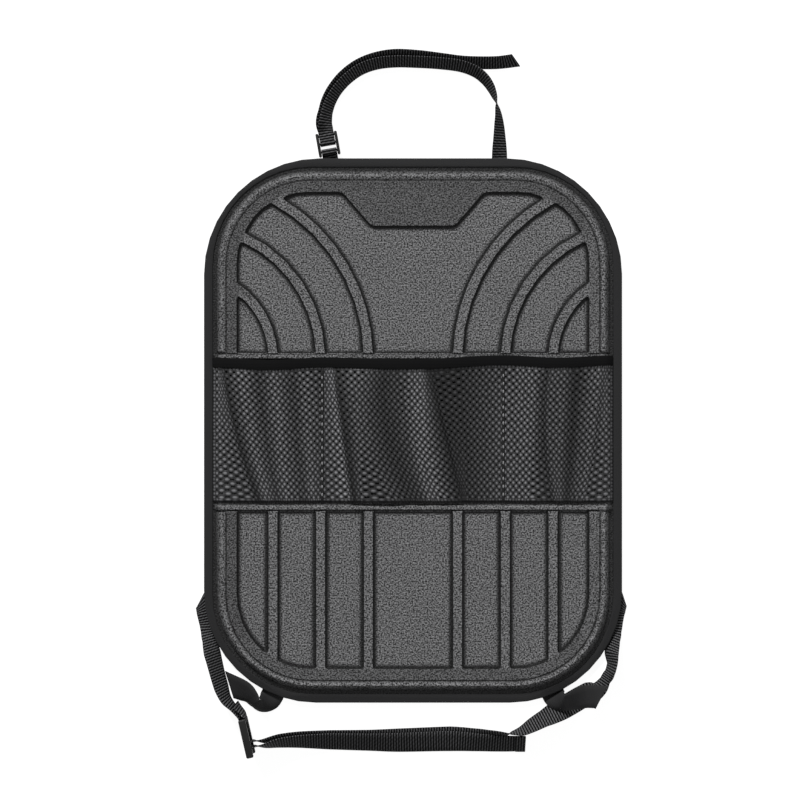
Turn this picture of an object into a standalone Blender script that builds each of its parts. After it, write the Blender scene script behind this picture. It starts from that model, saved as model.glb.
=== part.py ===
"""Seat back protector, lying face up: a moulded foam panel with a bound edge,
a three-bay mesh pocket under an elastic band, a strap for the headrest and
webbing straps for the foot of the seat back, with two ladder buckles.

Metres, +X to the right, +Y towards the headrest, +Z out of the face. The
origin is the middle of the flat back, which bears on the seat.
"""
import math

import bmesh
import bpy
from mathutils import Matrix, Vector

# Panel outline
PANEL_WIDTH = 0.440
PANEL_HEIGHT = 0.573
EDGE_CORNER_TOP = 0.122
EDGE_CORNER_BOTTOM = 0.118
MOULD_CORNER_TOP = 0.1125
MOULD_CORNER_BOTTOM = 0.114

# Panel section, heights above the flat back
FLANGE_TOP = 0.0033
FIELD_LEVEL = 0.0065
LAND_LEVEL = 0.0095
ROLL_RISE = 0.0008
ROLL_INSET = 0.0130
ROLL_WIDTH = 0.0119

# Sunk fields and the ribs between them
FIELD_SIDE_INSET = 0.0346
FIELD_END_INSET = 0.0357
FIELD_CORNER_TOP = 0.0750
FIELD_CORNER_BOTTOM = 0.0790
FIELD_ROUNDING = 0.0032
FIELD_WALL = 0.0005
FIELD_FILLET = 0.0011
RIB_WIDTH_UPPER = 0.0090
RIB_WIDTH_LOWER = 0.0088
FAN_OVERHANG = 0.0168
FAN_RADII = (0.0898, 0.1398, 0.1900)
PLAQUE_HALF_TOP = 0.0744
PLAQUE_HALF_BOTTOM = 0.0437
PLAQUE_DEPTH = 0.0355
PLAQUE_TOP_ROUNDING = 0.0120
PLAQUE_FOOT_ROUNDING = 0.0090

# Pocket bay across the panel
POCKET_TOP = 0.0749
POCKET_BOTTOM = -0.0776
BAY_WALL = 0.0011
BEAD_UPPER = 0.0037
BEAD_LOWER = 0.0044
NOTCH_WIDTH = 0.0014

# Edge binding
TAPE = 0.0008
TAPE_FRONT = 0.0092
TAPE_BACK = 0.0100
GAP = 0.0003

# Elastic band and mesh
ELASTIC_WIDTH = 0.0105
ELASTIC_THICKNESS = 0.0014
MESH_THICKNESS = 0.0010
MESH_ROWS = 11
MESH_GAPS = 120
GAP_BORDER = 0.0014

# Webbing
WEBBING = 0.0012
UNDER_PANEL = 0.0016
HEADREST_WEBBING_WIDTH = 0.0160
SEAT_WEBBING_WIDTH = 0.0240

# Ladder buckles: bar radius, rail section and the bar places along the rail
HEADREST_BUCKLE_LENGTH = 0.0250
HEADREST_BAR_RADIUS = 0.0013
HEADREST_RAIL_WIDTH = 0.0030
HEADREST_RAIL_HEIGHT = 0.0055
HEADREST_BUCKLE_TURN = math.radians(10)
HEADREST_BUCKLE_X = -0.0874
SEAT_BUCKLE_LENGTH = 0.0410
SEAT_BAR_RADIUS = 0.0017
SEAT_RAIL_WIDTH = 0.0033
SEAT_RAIL_HEIGHT = 0.0075
SEAT_BUCKLE_TURN = math.radians(-77.1)
BUCKLE_PLAY = 0.0004

HALF_WIDTH = PANEL_WIDTH / 2
HALF_HEIGHT = PANEL_HEIGHT / 2
FLOOR = -UNDER_PANEL
EDGE_STEP = TAPE + GAP


def clear_scene():
    for item in list(bpy.data.objects):
        bpy.data.objects.remove(item, do_unlink=True)


def material(name, colour, roughness):
    made = bpy.data.materials.new(name)
    made.use_nodes = True
    shader = made.node_tree.nodes["Principled BSDF"]
    shader.inputs["Base Color"].default_value = (*colour, 1.0)
    shader.inputs["Roughness"].default_value = roughness
    shader.inputs["Metallic"].default_value = 0.0
    return made


def add_object(name, shape, finish):
    bmesh.ops.recalc_face_normals(shape, faces=shape.faces)
    mesh = bpy.data.meshes.new(name)
    shape.to_mesh(mesh)
    shape.free()
    mesh.materials.append(finish)
    made = bpy.data.objects.new(name, mesh)
    bpy.context.scene.collection.objects.link(made)
    return made


def arc(centre, radius, start, end, steps):
    """Points of an arc, both ends included, angles in degrees."""
    points = []
    for step in range(steps + 1):
        angle = math.radians(start + (end - start) * step / steps)
        points.append(Vector((centre[0] + radius * math.cos(angle), centre[1] + radius * math.sin(angle))))
    return points


def side_levels():
    """Heights on the side edges where the section changes, from the foot up, with the zone there."""
    lower = POCKET_BOTTOM
    upper = POCKET_TOP
    low_bead = lower - 2 * BAY_WALL
    low_notch = low_bead - BEAD_LOWER + BAY_WALL
    high_bead = upper + BAY_WALL
    high_notch = high_bead + BEAD_UPPER
    return [
        (low_notch - NOTCH_WIDTH - 2 * BAY_WALL, "pad"),
        (low_notch - NOTCH_WIDTH, "notch"),
        (low_notch - BAY_WALL / 2, "notch"),
        (low_notch, "bead"),
        (low_bead, "bead"),
        (lower, "pocket"),
        (upper, "pocket"),
        (high_bead, "bead"),
        (high_notch, "bead"),
        (high_notch + BAY_WALL / 2, "notch"),
        (high_notch + NOTCH_WIDTH, "notch"),
        (high_notch + NOTCH_WIDTH + 2 * BAY_WALL, "pad"),
    ]


def outline(inset, corner_top, corner_bottom, steps=10):
    """Rounded outline moved in by inset: points with their zone, counter-clockwise from the lower right."""
    x = HALF_WIDTH - inset
    top = HALF_HEIGHT - inset
    foot = inset - HALF_HEIGHT
    up = corner_top - inset
    low = corner_bottom - inset
    levels = side_levels()
    points = [(p, "pad") for p in arc((x - low, foot + low), low, -90, 0, steps)]
    points += [(Vector((x, y)), zone) for y, zone in levels]
    points += [(p, "pad") for p in arc((x - up, top - up), up, 0, 90, steps)]
    points += [(p, "pad") for p in arc((up - x, top - up), up, 90, 180, steps)]
    points += [(Vector((-x, y)), zone) for y, zone in reversed(levels)]
    points += [(p, "pad") for p in arc((low - x, foot + low), low, 180, 270, steps)]
    return points


def mould_outline(inset):
    return outline(inset, MOULD_CORNER_TOP, MOULD_CORNER_BOTTOM)


def edge_outline(inset):
    return outline(inset, EDGE_CORNER_TOP, EDGE_CORNER_BOTTOM)


def ring(shape, points, heights):
    """A closed row of vertices; heights gives z for each zone."""
    return [shape.verts.new((p.x, p.y, heights[zone])) for p, zone in points]


def join_rings(shape, first, second):
    count = len(first)
    for index in range(count):
        after = (index + 1) % count
        shape.faces.new((first[index], first[after], second[after], second[index]))


def level(height):
    return {"pad": height, "notch": height, "bead": height, "pocket": height}


def roll_rings():
    """Inset and heights of the rings from the bound edge in to the land, zone by zone."""
    rows = []
    crest = LAND_LEVEL + ROLL_RISE
    depth = LAND_LEVEL - FLANGE_TOP
    bay = FIELD_LEVEL - FLANGE_TOP
    # share of the roll's width, roll height, bead share and pocket share of their rise
    section = (
        (-0.19, FLANGE_TOP, 0.10, 0.0, 0.0),
        (0.00, FLANGE_TOP, 0.47, 0.0, 0.28),
        (0.13, FLANGE_TOP + 0.44 * depth, 0.76, 0.03, 0.66),
        (0.30, FLANGE_TOP + 0.87 * depth, 0.95, 0.2, 0.94),
        (0.50, crest, 1.0, 0.35, 1.0),
        (0.72, crest - 0.5 * ROLL_RISE, 1.0, 0.5, 1.0),
        (0.91, LAND_LEVEL - ROLL_RISE, 1.0, 0.7, 1.0),
        (1.00, LAND_LEVEL, 1.0, 1.0, 1.0),
    )
    for share, height, bead, notch, pocket in section:
        heights = {
            "pad": height,
            "notch": FLANGE_TOP + notch * depth,
            "bead": FLANGE_TOP + bead * depth,
            "pocket": FLANGE_TOP + pocket * bay,
        }
        rows.append((ROLL_INSET + share * ROLL_WIDTH, heights))
    return rows


def field_boundary():
    """Left half of the line that the sunk fields stop at, from the foot's middle round to the top's middle."""
    x = FIELD_SIDE_INSET - HALF_WIDTH
    top = HALF_HEIGHT - FIELD_END_INSET
    foot = FIELD_END_INSET - HALF_HEIGHT
    low = arc((x + FIELD_CORNER_BOTTOM, foot + FIELD_CORNER_BOTTOM), FIELD_CORNER_BOTTOM, 270, 180, 9)
    up = arc((x + FIELD_CORNER_TOP, top - FIELD_CORNER_TOP), FIELD_CORNER_TOP, 180, 90, 9)
    return [Vector((0, foot))] + low, up + [Vector((0, top))]


def cut_path(path, measure, limit):
    """Where measure passes limit along a path: the index after the crossing and the crossing point."""
    for index in range(len(path) - 1):
        first = path[index]
        last = path[index + 1]
        if (measure(first) - limit) * (measure(last) - limit) > 0:
            continue
        for step in range(40):
            middle = (first + last) / 2
            if (measure(first) - limit) * (measure(middle) - limit) <= 0:
                last = middle
            else:
                first = middle
        return index + 1, last
    return None


def round_corners(points, radii):
    """Round each corner in radii, which gives the radius for its index."""
    kept = []
    for index, point in enumerate(points):
        near = min((point - points[corner]).length for corner in radii)
        if index in radii or near > 2 * FIELD_ROUNDING:
            kept.append((point, radii.get(index)))
    made = []
    count = len(kept)
    for index, (point, radius) in enumerate(kept):
        if radius is None:
            made.append(point)
            continue
        before, before_radius = kept[index - 1]
        after, after_radius = kept[(index + 1) % count]
        back = (before - point).normalized()
        ahead = (after - point).normalized()
        half = max(back.angle(ahead), 0.2) / 2
        reach = radius / math.tan(half)
        back_limit = (before - point).length * (0.45 if before_radius else 0.9)
        ahead_limit = (after - point).length * (0.45 if after_radius else 0.9)
        reach = min(reach, back_limit, ahead_limit)
        start = point + back * reach
        end = point + ahead * reach
        steps = 4 if radius > 2 * FIELD_ROUNDING else 2
        for step in range(steps + 1):
            share = step / steps
            made.append(start * (1 - share) ** 2 + point * (2 * share * (1 - share)) + end * share ** 2)
    return made


def fan_centre():
    return Vector((-HALF_WIDTH - FAN_OVERHANG, POCKET_TOP + BAY_WALL))


def fan_arc(radius, base, end, steps):
    """Points of a fan arc from the base line up to end."""
    centre = fan_centre()
    start = math.degrees(math.asin((base - centre.y) / radius))
    stop = math.degrees(math.atan2(end.y - centre.y, end.x - centre.x))
    return arc(centre, radius, start, stop, steps)


def upper_field(inner, outer, base):
    """One field of the left fan between two radii; inner is None for the field next to the side."""
    centre = fan_centre()
    path = [Vector((FIELD_SIDE_INSET - HALF_WIDTH, base))] + field_boundary()[1]
    far, outer_end = cut_path(path, lambda p: (p - centre).length, outer)
    points = fan_arc(outer, base, outer_end, 7)
    corners = [0, len(points) - 1]
    if inner is None:
        points += [path[0]]
        corners.append(len(points) - 1)
        return round_corners(points, dict.fromkeys(corners, FIELD_ROUNDING))
    near, inner_end = cut_path(path, lambda p: (p - centre).length, inner)
    between = path[near:far]
    points += list(reversed(between))
    corners.append(len(points))
    points += list(reversed(fan_arc(inner, base, inner_end, 6)))
    corners.append(len(points) - 1)
    return round_corners(points, dict.fromkeys(corners, FIELD_ROUNDING))


def centre_upper_field(base):
    """The wide middle field, which runs round the bare plaque below the top edge."""
    centre = fan_centre()
    radius = FAN_RADII[-1] + RIB_WIDTH_UPPER / 2
    path = [Vector((FIELD_SIDE_INSET - HALF_WIDTH, base))] + field_boundary()[1]
    near, inner_end = cut_path(path, lambda p: (p - centre).length, radius)
    top = HALF_HEIGHT - FIELD_END_INSET
    left = list(reversed(fan_arc(radius, base, inner_end, 8)))
    start = [Vector((-PLAQUE_HALF_TOP, top))]
    start += [p for p in reversed(path[near:-1]) if p.x < -PLAQUE_HALF_TOP - 0.016]
    half = [Vector((-PLAQUE_HALF_BOTTOM, top - PLAQUE_DEPTH))] + start + left
    radii = {
        0: PLAQUE_FOOT_ROUNDING,
        1: PLAQUE_TOP_ROUNDING,
        len(start) + 1: FIELD_ROUNDING,
        len(half) - 1: FIELD_ROUNDING,
    }
    last = 2 * len(half) - 1
    for index, radius in list(radii.items()):
        radii[last - index] = radius
    return round_corners(half + mirror_points(half), radii)


def lower_field(left, right, head):
    """One upright field left of the middle, between two x values and the boundary below."""
    path = list(reversed(field_boundary()[0]))
    side = path[0].x
    last, right_end = cut_path(path, lambda p: p.x, right)
    if left <= side:
        points = [Vector((side, head))] + path[:last] + [right_end, Vector((right, head))]
        corners = [0, len(points) - 2, len(points) - 1]
    else:
        first, left_end = cut_path(path, lambda p: p.x, left)
        points = [Vector((left, head)), left_end] + path[first:last] + [right_end, Vector((right, head))]
        corners = [0, 1, len(points) - 2, len(points) - 1]
    return round_corners(points, dict.fromkeys(corners, FIELD_ROUNDING))


def mirror_points(points):
    return [Vector((-p.x, p.y)) for p in reversed(points)]


def rib_places():
    """Distance of each rib from the middle line, at the foot of the fan and below the pocket."""
    return [-(fan_centre().x + radius) for radius in reversed(FAN_RADII)]


def field_outlines():
    base = POCKET_TOP + BAY_WALL + BEAD_UPPER
    head = POCKET_BOTTOM - BAY_WALL - BEAD_LOWER - BAY_WALL / 2
    half_up = RIB_WIDTH_UPPER / 2
    half_low = RIB_WIDTH_LOWER / 2
    first, second, third = FAN_RADII
    upper = [
        upper_field(None, first - half_up, base),
        upper_field(first + half_up, second - half_up, base),
        upper_field(second + half_up, third - half_up, base),
    ]
    upper += [mirror_points(field) for field in upper]
    upper.append(centre_upper_field(base))
    near, middle, far = rib_places()
    lower = [
        lower_field(-HALF_WIDTH, -far - half_low, head),
        lower_field(-far + half_low, -middle - half_low, head),
        lower_field(-middle + half_low, -near - half_low, head),
    ]
    lower += [mirror_points(field) for field in lower]
    foot = FIELD_END_INSET - HALF_HEIGHT
    x = near - half_low
    block = [Vector((-x, head)), Vector((-x, foot)), Vector((x, foot)), Vector((x, head))]
    lower.append(round_corners(block, dict.fromkeys(range(4), FIELD_ROUNDING)))
    return upper, lower


def sink_field(shape, loop):
    """Drop a field below the land: a steep wall, then a fillet to the flat floor."""
    face = shape.faces.new(loop)
    face.normal_update()
    if face.normal.z < 0:
        face.normal_flip()
    depth = LAND_LEVEL - FIELD_LEVEL
    bmesh.ops.inset_region(shape, faces=[face], thickness=FIELD_WALL, depth=-depth * 0.6, use_even_offset=True)
    bmesh.ops.inset_region(shape, faces=[face], thickness=FIELD_FILLET, depth=-depth * 0.4, use_even_offset=True)


def fill_land(shape, border, fields):
    """Flat land between a border and the field outlines, then the fields sunk into it."""
    loops = []
    edges = []
    for field in fields:
        loops.append([shape.verts.new((p.x, p.y, LAND_LEVEL)) for p in field])
    for loop in [border] + loops:
        for index, vert in enumerate(loop):
            after = loop[(index + 1) % len(loop)]
            edges.append(shape.edges.get((vert, after)) or shape.edges.new((vert, after)))
    bmesh.ops.triangle_fill(shape, use_beauty=True, edges=edges, normal=(0, 0, 1))
    for loop in loops:
        sink_field(shape, loop)


def moulded_panel(finish):
    """Hot-pressed foam panel: thin flange, raised roll, ribs and sunk fields, flat back."""
    shape = bmesh.new()
    back_inset = TAPE_BACK + GAP
    back = ring(shape, mould_outline(back_inset), level(0))
    shape.faces.new(list(reversed(back)))
    step = ring(shape, mould_outline(back_inset), level(EDGE_STEP))
    join_rings(shape, back, step)
    edge = ring(shape, edge_outline(EDGE_STEP), level(EDGE_STEP))
    join_rings(shape, step, edge)
    before = ring(shape, edge_outline(EDGE_STEP), level(FLANGE_TOP))
    join_rings(shape, edge, before)
    under_tape = ring(shape, mould_outline(TAPE_FRONT + 2 * GAP), level(FLANGE_TOP))
    join_rings(shape, before, under_tape)
    before = under_tape
    for inset, heights in roll_rings():
        after = ring(shape, mould_outline(inset), heights)
        join_rings(shape, before, after)
        before = after

    zones = [zone for point, zone in mould_outline(ROLL_INSET)]
    count = len(before)
    first_pocket = zones.index("pocket")
    low_right = before[first_pocket]
    high_right = before[first_pocket + 1]
    high_left = before[count - 1 - (first_pocket + 1)]
    low_left = before[count - 1 - first_pocket]
    shape.faces.new((low_right, high_right, high_left, low_left))
    top_right = before[first_pocket + 2]
    top_left = before[count - 1 - (first_pocket + 2)]
    foot_right = before[first_pocket - 1]
    foot_left = before[count - 1 - (first_pocket - 1)]
    shape.faces.new((high_right, top_right, top_left, high_left))
    shape.faces.new((foot_right, low_right, low_left, foot_left))

    upper, lower = field_outlines()
    fill_land(shape, before[first_pocket + 2:count - first_pocket - 2], upper)
    fill_land(shape, before[count - first_pocket:] + before[:first_pocket], lower)
    return add_object("moulded_panel", shape, finish)


def edge_binding(finish):
    """Woven tape folded over the panel's edge and sewn through, front and back."""
    shape = bmesh.new()
    front = FLANGE_TOP + GAP
    top = front + TAPE
    rings = [
        ring(shape, mould_outline(TAPE_FRONT), level(front)),
        ring(shape, mould_outline(TAPE_FRONT), level(top)),
        ring(shape, edge_outline(TAPE), level(top)),
        ring(shape, edge_outline(0), level(top - TAPE)),
        ring(shape, edge_outline(0), level(TAPE)),
        ring(shape, edge_outline(TAPE), level(0)),
        ring(shape, mould_outline(TAPE_BACK), level(0)),
        ring(shape, mould_outline(TAPE_BACK), level(TAPE)),
        ring(shape, edge_outline(TAPE), level(TAPE)),
        ring(shape, edge_outline(TAPE), level(front)),
    ]
    for index, row in enumerate(rings):
        join_rings(shape, row, rings[(index + 1) % len(rings)])
    return add_object("edge_binding", shape, finish)


def smooth_between(values, place):
    """Catmull-Rom value at place, counted in steps of the list."""
    index = min(int(place), len(values) - 2)
    share = place - index
    a = values[max(index - 1, 0)]
    b = values[index]
    c = values[index + 1]
    d = values[min(index + 2, len(values) - 1)]
    return 0.5 * (2 * b + (c - a) * share + (2 * a - 5 * b + 4 * c - d) * share ** 2
                  + (3 * b - a - 3 * c + d) * share ** 3)


def straight_between(values, place):
    """Value at place on the straight line between its neighbours in the list."""
    index = min(int(place), len(values) - 2)
    share = place - index
    return values[index] + (values[index + 1] - values[index]) * share


def rim_inset(point):
    """How far a point lies inside the panel's moulded outline."""
    x = HALF_WIDTH - abs(point.x)
    y = HALF_HEIGHT - abs(point.y)
    corner = MOULD_CORNER_TOP if point.y > 0 else MOULD_CORNER_BOTTOM
    if x < corner and y < corner:
        return corner - math.hypot(corner - x, corner - y)
    return min(x, y)


def trimmed_edge(edge, centre):
    """Edge of webbing sewn below the binding: it goes no further in than the binding does."""
    limit = TAPE_BACK - 2 * GAP
    if edge.z > 0 or rim_inset(edge) <= limit:
        return edge
    inside = edge
    outside = centre
    for step in range(30):
        middle = (inside + outside) / 2
        if rim_inset(middle) > limit:
            inside = middle
        else:
            outside = middle
    return outside


def ribbon(name, width, thickness, stations, finish, fineness=2):
    """Flat webbing through stations (x, y, lift, tilt, skew, share).

    lift is the height of the lower edge above the ground, tilt turns the
    section about the run, 90 standing on edge, skew slants the section, and
    share is the part of the width that isn't curled under.
    """
    samples = []
    stations = [(*station, 1.0)[:6] for station in stations]
    spans = len(stations) - 1
    for step in range(spans * fineness + 1):
        place = step / fineness
        x, y = [smooth_between([s[axis] for s in stations], place) for axis in range(2)]
        lift, tilt, skew, share = [straight_between([s[axis] for s in stations], place) for axis in range(2, 6)]
        lean = math.radians(tilt)
        rise = width * share / 2 * abs(math.sin(lean)) + thickness / 2 * abs(math.cos(lean))
        samples.append((Vector((x, y, FLOOR + lift + rise)), lean, math.radians(skew), width * share))

    shape = bmesh.new()
    rows = []
    side = None
    for index, (centre, lean, skew, spread) in enumerate(samples):
        run = samples[min(index + 1, len(samples) - 1)][0] - samples[max(index - 1, 0)][0]
        flat = Vector((-run.y, run.x, 0))
        if flat.length > 0.02 * run.length:
            flat.normalize()
            if side is not None and flat.dot(side) < 0:
                flat.negate()
            side = flat
        across = Matrix.Rotation(skew, 3, "Z") @ side
        across = across * (math.cos(lean) / math.cos(skew)) + Vector((0, 0, math.sin(lean)))
        normal = run.cross(across).normalized()
        near = trimmed_edge(centre + across * spread / 2, centre)
        far = trimmed_edge(centre - across * spread / 2, centre)
        off = normal * thickness / 2
        rows.append([shape.verts.new(corner) for corner in (near + off, far + off, far - off, near - off)])
    for first, second in zip(rows, rows[1:]):
        for index in range(4):
            after = (index + 1) % 4
            shape.faces.new((first[index], first[after], second[after], second[index]))
    shape.faces.new(rows[0])
    shape.faces.new(list(reversed(rows[-1])))
    bmesh.ops.triangulate(shape, faces=shape.faces)
    return add_object(name, shape, finish)


def box_between(low, high):
    shape = bmesh.new()
    bmesh.ops.create_cube(shape, size=1)
    size = Vector(high) - Vector(low)
    middle = (Vector(high) + Vector(low)) / 2
    bmesh.ops.scale(shape, vec=size, verts=shape.verts)
    bmesh.ops.translate(shape, vec=middle, verts=shape.verts)
    return shape


def buckle_bar(place, radius, half_length):
    shape = bmesh.new()
    bmesh.ops.create_cone(shape, cap_ends=True, segments=10, radius1=radius, radius2=radius, depth=2 * half_length)
    bmesh.ops.rotate(shape, cent=(0, 0, 0), matrix=Matrix.Rotation(math.radians(90), 3, "X"), verts=shape.verts)
    bmesh.ops.translate(shape, vec=(place, 0, 0), verts=shape.verts)
    return shape


def unite(body, tools):
    """Join tool shapes to a body with Boolean unions; the tools stay as hidden guides."""
    for index, tool in enumerate(tools):
        tool.hide_render = True
        tool.display_type = "WIRE"
        joined = body.modifiers.new("join_%d" % index, "BOOLEAN")
        joined.operation = "UNION"
        joined.object = tool


def ladder_buckle(name, size, placing, finish):
    """Moulded ladder buckle: two rails, a sewn bar, a middle bar and a grip bar with its tab.

    Local X runs along the rails from the sewn end, Y across the webbing.
    """
    length, webbing, bar, rail_width, rail_height, places = size
    inner = webbing / 2 + BUCKLE_PLAY
    outer = inner + rail_width
    sewn, middle, grip = places
    near_rail = box_between((0, -outer, -rail_height / 2), (length, -inner, rail_height / 2))
    bmesh.ops.bevel(near_rail, geom=[e for e in near_rail.edges if abs(e.verts[0].co.x - e.verts[1].co.x) < length / 2],
                    offset=rail_width / 3, segments=1, profile=0.5, affect="EDGES", material=-1)
    body = add_object(name, near_rail, finish)
    tools = []
    far_rail = box_between((0, inner, -rail_height / 2), (length, outer, rail_height / 2))
    bmesh.ops.bevel(far_rail, geom=[e for e in far_rail.edges if abs(e.verts[0].co.x - e.verts[1].co.x) < length / 2],
                    offset=rail_width / 3, segments=1, profile=0.5, affect="EDGES", material=-1)
    tools.append(add_object(name + "_far_rail_tool", far_rail, finish))
    reach = inner + rail_width / 2
    for index, place in enumerate((sewn, middle)):
        tools.append(add_object("%s_bar_%d_tool" % (name, index), buckle_bar(place, bar, reach), finish))
    lip = box_between((grip - bar, -reach, -bar), (grip + bar, reach, bar))
    tools.append(add_object(name + "_grip_tool", lip, finish))
    for item in [body] + tools:
        item.data.transform(placing)
    unite(body, tools)
    return body


def headrest_placing():
    """Flat on the ground, its sewn end by the panel's top edge."""
    height = FLOOR + WEBBING + GAP + HEADREST_BAR_RADIUS
    turn = Matrix.Rotation(math.radians(90) + HEADREST_BUCKLE_TURN, 4, "Z")
    return Matrix.Translation((HEADREST_BUCKLE_X, HALF_HEIGHT + 0.0028, height)) @ turn


def seat_buckle_origin():
    return Vector((0.0413 - HALF_WIDTH, -0.0142 - HALF_HEIGHT, 0))


def seat_placing():
    """On its side, so that its rails lie one above the other."""
    height = FLOOR + SEAT_RAIL_WIDTH + BUCKLE_PLAY + SEAT_WEBBING_WIDTH / 2
    origin = seat_buckle_origin()
    turn = Matrix.Rotation(SEAT_BUCKLE_TURN, 4, "Z") @ Matrix.Rotation(math.radians(90), 4, "X")
    return Matrix.Translation((origin.x, origin.y, height)) @ turn


def along_headrest_buckle(distance, lift, tilt=180):
    """A webbing station on the small buckle's axis, distance from its sewn end."""
    point = headrest_placing() @ Vector((distance, 0, 0))
    return (point.x, point.y, lift, tilt, 0)


def bar_turn(place, far, radius, start, end):
    """Distance and height pairs round a bar from start to end degrees; far is +1 or -1 along the rails."""
    steps = 6
    pairs = []
    for step in range(steps + 1):
        angle = math.radians(start + (end - start) * step / steps)
        pairs.append((place + far * radius * math.cos(angle), radius * math.sin(angle)))
    return pairs


def by_seat_buckle(distance, aside, lift, tilt):
    """A webbing station by the large buckle: distance along its rails, aside towards +X."""
    origin = seat_buckle_origin()
    run = Vector((math.cos(SEAT_BUCKLE_TURN), math.sin(SEAT_BUCKLE_TURN)))
    point = Vector((origin.x, origin.y)) + run * distance + Vector((-run.y, run.x)) * aside
    return (point.x, point.y, lift, tilt, 0)


def from_top(x, y, lift, tilt, skew=0, share=1):
    return (x, HALF_HEIGHT + y, lift, tilt, skew, share)


def from_left(x, y, lift, tilt, skew=0, share=1):
    return (x - HALF_WIDTH, y - HALF_HEIGHT, lift, tilt, skew, share)


def from_right(x, y, lift, tilt, skew=0, share=1):
    return (HALF_WIDTH + x, y - HALF_HEIGHT, lift, tilt, skew, share)


HEADREST_BARS = (0.0050, 0.0135, 0.0220)
SEAT_BARS = (0.0040, 0.0290, 0.0370)


def headrest_strap(finish):
    """From under the panel's top edge up and over to the buckle, round its middle bar and back as a tail."""
    wrap = HEADREST_BAR_RADIUS + GAP + WEBBING / 2
    over = 2 * wrap
    middle = HEADREST_BARS[1]
    grip = HEADREST_BARS[2]
    stations = [
        from_top(0.0912, -0.0092, 0.0, 0),
        from_top(0.0912, -0.0040, 0.0, 0),
        from_top(0.0912, 0.0010, 0.0, 0),
        from_top(0.0911, 0.0095, 0.0003, 18),
        from_top(0.0910, 0.0210, 0.0003, 36),
        from_top(0.0907, 0.0330, 0.0003, 48),
        from_top(0.0901, 0.0440, 0.0003, 62),
        from_top(0.0889, 0.0520, 0.0003, 72),
        from_top(0.0878, 0.0585, 0.0003, 88),
        from_top(0.0857, 0.0650, 0.0003, 104),
        from_top(0.0818, 0.0740, 0.0003, 116),
        from_top(0.0755, 0.0830, 0.0003, 124),
        from_top(0.0655, 0.0910, 0.0003, 128),
        from_top(0.0500, 0.0968, 0.0003, 130),
        from_top(0.0280, 0.0997, 0.0003, 130),
        from_top(0.0050, 0.1011, 0.0003, 130),
        from_top(-0.0180, 0.1016, 0.0003, 130),
        from_top(-0.0380, 0.0994, 0.0003, 130),
        from_top(-0.0550, 0.0935, 0.0003, 130),
        from_top(-0.0690, 0.0835, 0.0003, 128),
        from_top(-0.0795, 0.0720, 0.0003, 128),
        from_top(-0.0865, 0.0600, 0.0010, 130),
        from_top(-0.0905, 0.0480, 0.0018, 134),
        from_top(-0.0921, 0.0370, 0.0028, 146),
        along_headrest_buckle(grip + 0.0042, over, 180),
        along_headrest_buckle(grip, over, 180),
        along_headrest_buckle(middle + 0.0025, over, 180),
        *[along_headrest_buckle(place, wrap + rise, 180) for place, rise in bar_turn(middle, -1, wrap, 90, -90)],
        along_headrest_buckle(middle + 0.0025, 0, 180),
        along_headrest_buckle(grip, 0, 180),
        along_headrest_buckle(grip + 0.0042, 0, 180),
        from_top(-0.0951, 0.0375, 0.0, 150),
        from_top(-0.0936, 0.0490, 0.0, 134),
        from_top(-0.0900, 0.0620, 0.0003, 130),
        from_top(-0.0832, 0.0745, 0.0003, 128),
        from_top(-0.0728, 0.0868, 0.0003, 128),
        from_top(-0.0580, 0.0977, 0.0003, 130),
        from_top(-0.0400, 0.1050, 0.0003, 130),
        from_top(-0.0190, 0.1084, 0.0003, 130),
        from_top(0.0050, 0.1073, 0.0003, 130),
        from_top(0.0280, 0.1045, 0.0003, 130),
        from_top(0.0500, 0.1014, 0.0003, 132),
        from_top(0.0700, 0.1003, 0.0003, 135),
        from_top(0.0900, 0.1006, 0.0003, 136),
        from_top(0.1085, 0.1030, 0.0003, 140, 32),
    ]
    return ribbon("headrest_strap", HEADREST_WEBBING_WIDTH, WEBBING, stations, finish, fineness=2)


def headrest_tab(finish):
    """Short loop of the same webbing that holds the small buckle at the panel's top edge."""
    wrap = HEADREST_BAR_RADIUS + GAP + WEBBING / 2
    sewn = HEADREST_BARS[0]
    stations = [
        along_headrest_buckle(-0.0106, 0),
        along_headrest_buckle(-0.0060, 0),
        along_headrest_buckle(sewn - 0.0015, 0),
        *[along_headrest_buckle(place, wrap + rise) for place, rise in bar_turn(sewn, 1, wrap, -90, 90)],
        along_headrest_buckle(sewn - 0.0015, 2 * wrap - 0.0001),
        along_headrest_buckle(sewn - 0.0035, 2 * wrap - 0.0010),
    ]
    return ribbon("headrest_tab", HEADREST_WEBBING_WIDTH, WEBBING, stations, finish)


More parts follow.
